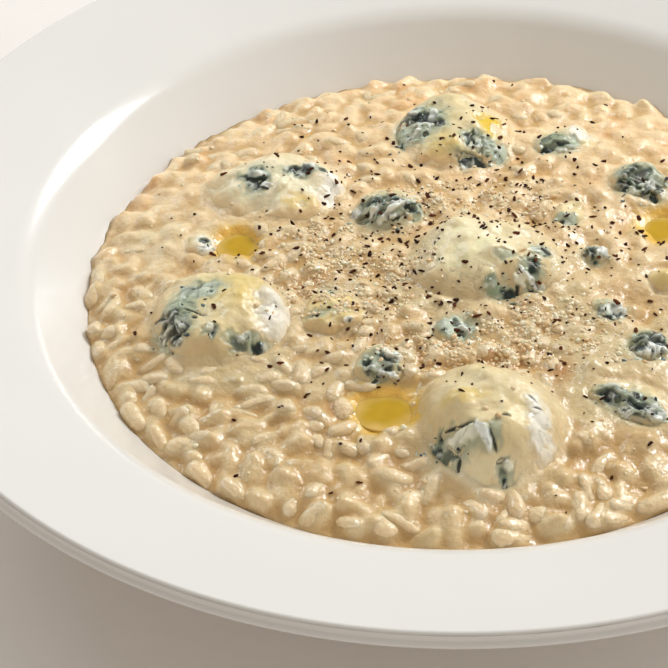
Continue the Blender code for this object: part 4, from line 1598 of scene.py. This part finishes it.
def bare_sauce(melts):
    """The sauce without grains and lumps."""
    away = np.hypot(RASTER_X, RASTER_Y)
    sink = SAUCE_SINK * (1 - smoothstep(70, 30, away)) * smoothstep(0.6, 0, melts)
    sauce = level(RASTER_X, RASTER_Y) + SAUCE_RISE + melts - sink - pool_dips(RASTER_X, RASTER_Y)
    edge = smoothstep(BED_RADIUS, BED_RADIUS - BACK_SLOPE, away)
    sauce += BACK_RISE * smoothstep(10, 65, RASTER_Y) * edge
    return sauce + 0.2 * rough_noise(RASTER_X, RASTER_Y, 4.5, SEED)


def lump_rasters():
    """Heights of the lumps, limits for the sauce over them, and share of mould."""
    lumps = np.full(RASTER_X.shape, NOTHING)
    limits = np.full(RASTER_X.shape, NO_LIMIT)
    blue = np.zeros(RASTER_X.shape)
    for name, lump in LUMPS.items():
        part = window(lump.x, lump.y, 1.3 * max(lump.half_width, lump.half_depth))
        x, y = RASTER_X[part], RASTER_Y[part]
        height, _ = lump_dome(name, x, y)
        relief, _, _, bare, mould = lump_surface(name, x, y)
        slopes = np.gradient(height, RASTER_STEP)
        steep = np.minimum(2.0, np.sqrt(1 + slopes[0] ** 2 + slopes[1] ** 2))
        height += relief * np.where(relief < 0, steep, 1.0)
        reach = lump_reach(lump, x, y)
        ragged = reach + 0.3 * noise(x, y, 3.5, SEED + 12)
        if lump.height < SMALL_HEIGHT:
            bare = bare * smoothstep(1.05, 0.68, reach + 0.4 * noise(x, y, 2.6, SEED + 15))
        limit = height - 0.5 * steep + 1.9 * smoothstep(0.5, 1.0, ragged) * (1 - 0.95 * bare)
        inside = reach < 1
        lumps[part] = np.where(inside, np.maximum(lumps[part], height), lumps[part])
        limits[part] = np.where(inside, np.minimum(limits[part], limit), limits[part])
        blue[part] = np.maximum(blue[part], np.where(inside, mould, 0))
    return lumps, limits, blue


def grain_rasters(grains):
    """Heights of the grains that show and of those that sauce hides."""
    shown, hidden = (np.full(RASTER_X.shape, NOTHING) for _ in range(2))
    for grain in grains:
        if grain.covered:
            stamp_grain(hidden, grain, HIDDEN_FILM)
        else:
            stamp_grain(shown, grain, 0.0)
    return shown, hidden


def draped(sauce, forms, width, film=0.0):
    """The sauce drawn up over forms: softened over a width, with a film on it."""
    return np.maximum(sauce, blurred(np.maximum(sauce, forms), width) + film)


def sauce_heights(melts, lumps, limits, shown, hidden):
    """The sauce's upper face with everything that it is drawn up over."""
    sauce = draped(bare_sauce(melts), lumps, LUMP_DRAPE)
    sauce = draped(sauce, hidden, HIDDEN_DRAPE)
    cover = cream_cover(RASTER_X, RASTER_Y)
    uneven = noise(RASTER_X, RASTER_Y, FILM_WAVES, SEED + 4)
    for width, film, waves, cream in SHOWN_DRAPES:
        sauce = draped(sauce, shown, width, film + waves * uneven + cream * cover)
    height, more, size = RELIEF
    sauce += (height + more * cover) * rough_noise(RASTER_X, RASTER_Y, size, SEED + 6, 2)
    height, size = BACK_RELIEF
    back = smoothstep(*BACK_RANGE, RASTER_Y)
    sauce += height * back * rough_noise(RASTER_X, RASTER_Y, size, SEED + 13, 2)
    return blurred(np.minimum(sauce, limits), LAST_BLUR)


def build_food():
    """Everything on the plate: the rasters first, then the pieces that follow them."""
    melts = melt_heights(RASTER_X, RASTER_Y)
    lumps, limits, blue = lump_rasters()
    grains = place_grains()
    shown, hidden = grain_rasters(grains)
    sauce = sauce_heights(melts, lumps, limits, shown, hidden)
    top = np.maximum(np.maximum(sauce, shown), lumps)
    mean = blurred(np.maximum(sauce, shown), MEAN_BLUR)
    cheese = blurred((lumps > 0).astype(float), CHEESE_BLUR)
    near, deep = smoothstep(*NEAR_CHEESE, cheese), smoothstep(*DEEP_CHEESE, cheese)
    stain = blurred(blue, STAIN_BLUR)

    food = {name: soft_material(name, *values) for name, values in FOOD_MATERIALS.items()}
    build_sauce(sauce, mean, melts, near, deep, stain, food["sauce"])
    build_grains(grains, sauce, food["rice"])
    for name in LUMPS:
        build_lump(name, food["cheese"])
    for name, pool in POOLS.items():
        build_pool(name, pool, food["golden_oil"])
    build_pepper(top, food["pepper"])
    build_gratings(top, blurred(blue, GRATING_BLUR), food["cheese_crumbs"])
    build_flecks(top, food["cheese_crumbs"])


# ---------------------------------------------------------------- the studio

# The camera fitted to the photo
CAMERA_PLACE = Vector((0.0, -392.5, 337.1)) * MM
CAMERA_RIGHT = Vector((0.99818, 0.04510, -0.04004))
CAMERA_UP = Vector((0.00120, 0.64900, 0.76079))
CAMERA_LENS = 107.78
CAMERA_SENSOR = 36.0
CAMERA_NEAREST = 10.0
FLOOR_REACH = 900
WORLD_COLOUR = (1.0, 0.91, 0.81, 1)
WORLD_STRENGTH = 0.45

# Lamps that point at the plate: place, width and height, power, colour
LAMPS = {
    "window": ((580, 580, 740), (550, 400), 7.5, (0.965, 0.985, 1.0)),
    "spark": ((560, 560, 720), (90, 70), 1.2, (0.965, 0.99, 1.0)),
    "pane": ((-420, 460, 480), (500, 160), 1.15, (0.8, 0.94, 1.0)),
    "fill": ((850, -200, 650), (900, 900), 0.9, (0.84, 0.95, 1.0)),
}


def add_camera(scene):
    camera = bpy.data.objects.new("camera", bpy.data.cameras.new("camera"))
    scene.collection.objects.link(camera)
    backwards = CAMERA_RIGHT.cross(CAMERA_UP)
    axes = Matrix((CAMERA_RIGHT, CAMERA_UP, backwards)).transposed().to_4x4()
    camera.matrix_world = Matrix.Translation(CAMERA_PLACE) @ axes
    camera.data.lens = CAMERA_LENS
    camera.data.sensor_width = CAMERA_SENSOR
    camera.data.clip_start = CAMERA_NEAREST * MM
    scene.camera = camera


def add_floor():
    far = FLOOR_REACH
    corners = [(-far, -far, 0), (far, -far, 0), (far, far, 0), (-far, far, 0)]
    floor = mesh_object("floor", corners, [[0, 1, 2, 3]], smooth=False)
    material, tree, shader = new_material("floor")
    weave = noise_node(tree, 120.0, 3.0)
    tree.links.new(varied(tree, FLOOR_WHITE, weave, 0.98, 1.02), shader.inputs["Base Color"])
    shader.inputs["Roughness"].default_value = 0.6
    floor.data.materials.append(material)


def add_world(scene):
    world = bpy.data.worlds.new("studio")
    world.use_nodes = True
    background = world.node_tree.nodes["Background"]
    background.inputs["Color"].default_value = WORLD_COLOUR
    background.inputs["Strength"].default_value = WORLD_STRENGTH
    scene.world = world


def add_lamp(scene, name, place, size, power, colour):
    light = bpy.data.lights.new(name, "AREA")
    light.shape = "RECTANGLE"
    light.size, light.size_y = size[0] * MM, size[1] * MM
    light.energy = power
    light.color = colour
    lamp = bpy.data.objects.new(name, light)
    scene.collection.objects.link(lamp)
    lamp.location = Vector(place) * MM
    lamp.rotation_euler = (-lamp.location).to_track_quat("-Z", "Y").to_euler()


def build_studio():
    """Camera, floor, world and lamps, as in the photo."""
    scene = bpy.context.scene
    add_camera(scene)
    add_floor()
    add_world(scene)
    for name, lamp in LAMPS.items():
        add_lamp(scene, name, *lamp)
    scene.view_settings.view_transform = "Standard"
    scene.view_settings.look = "None"
    scene.cycles.use_denoising = True


build_studio()
build_plate()
build_food()
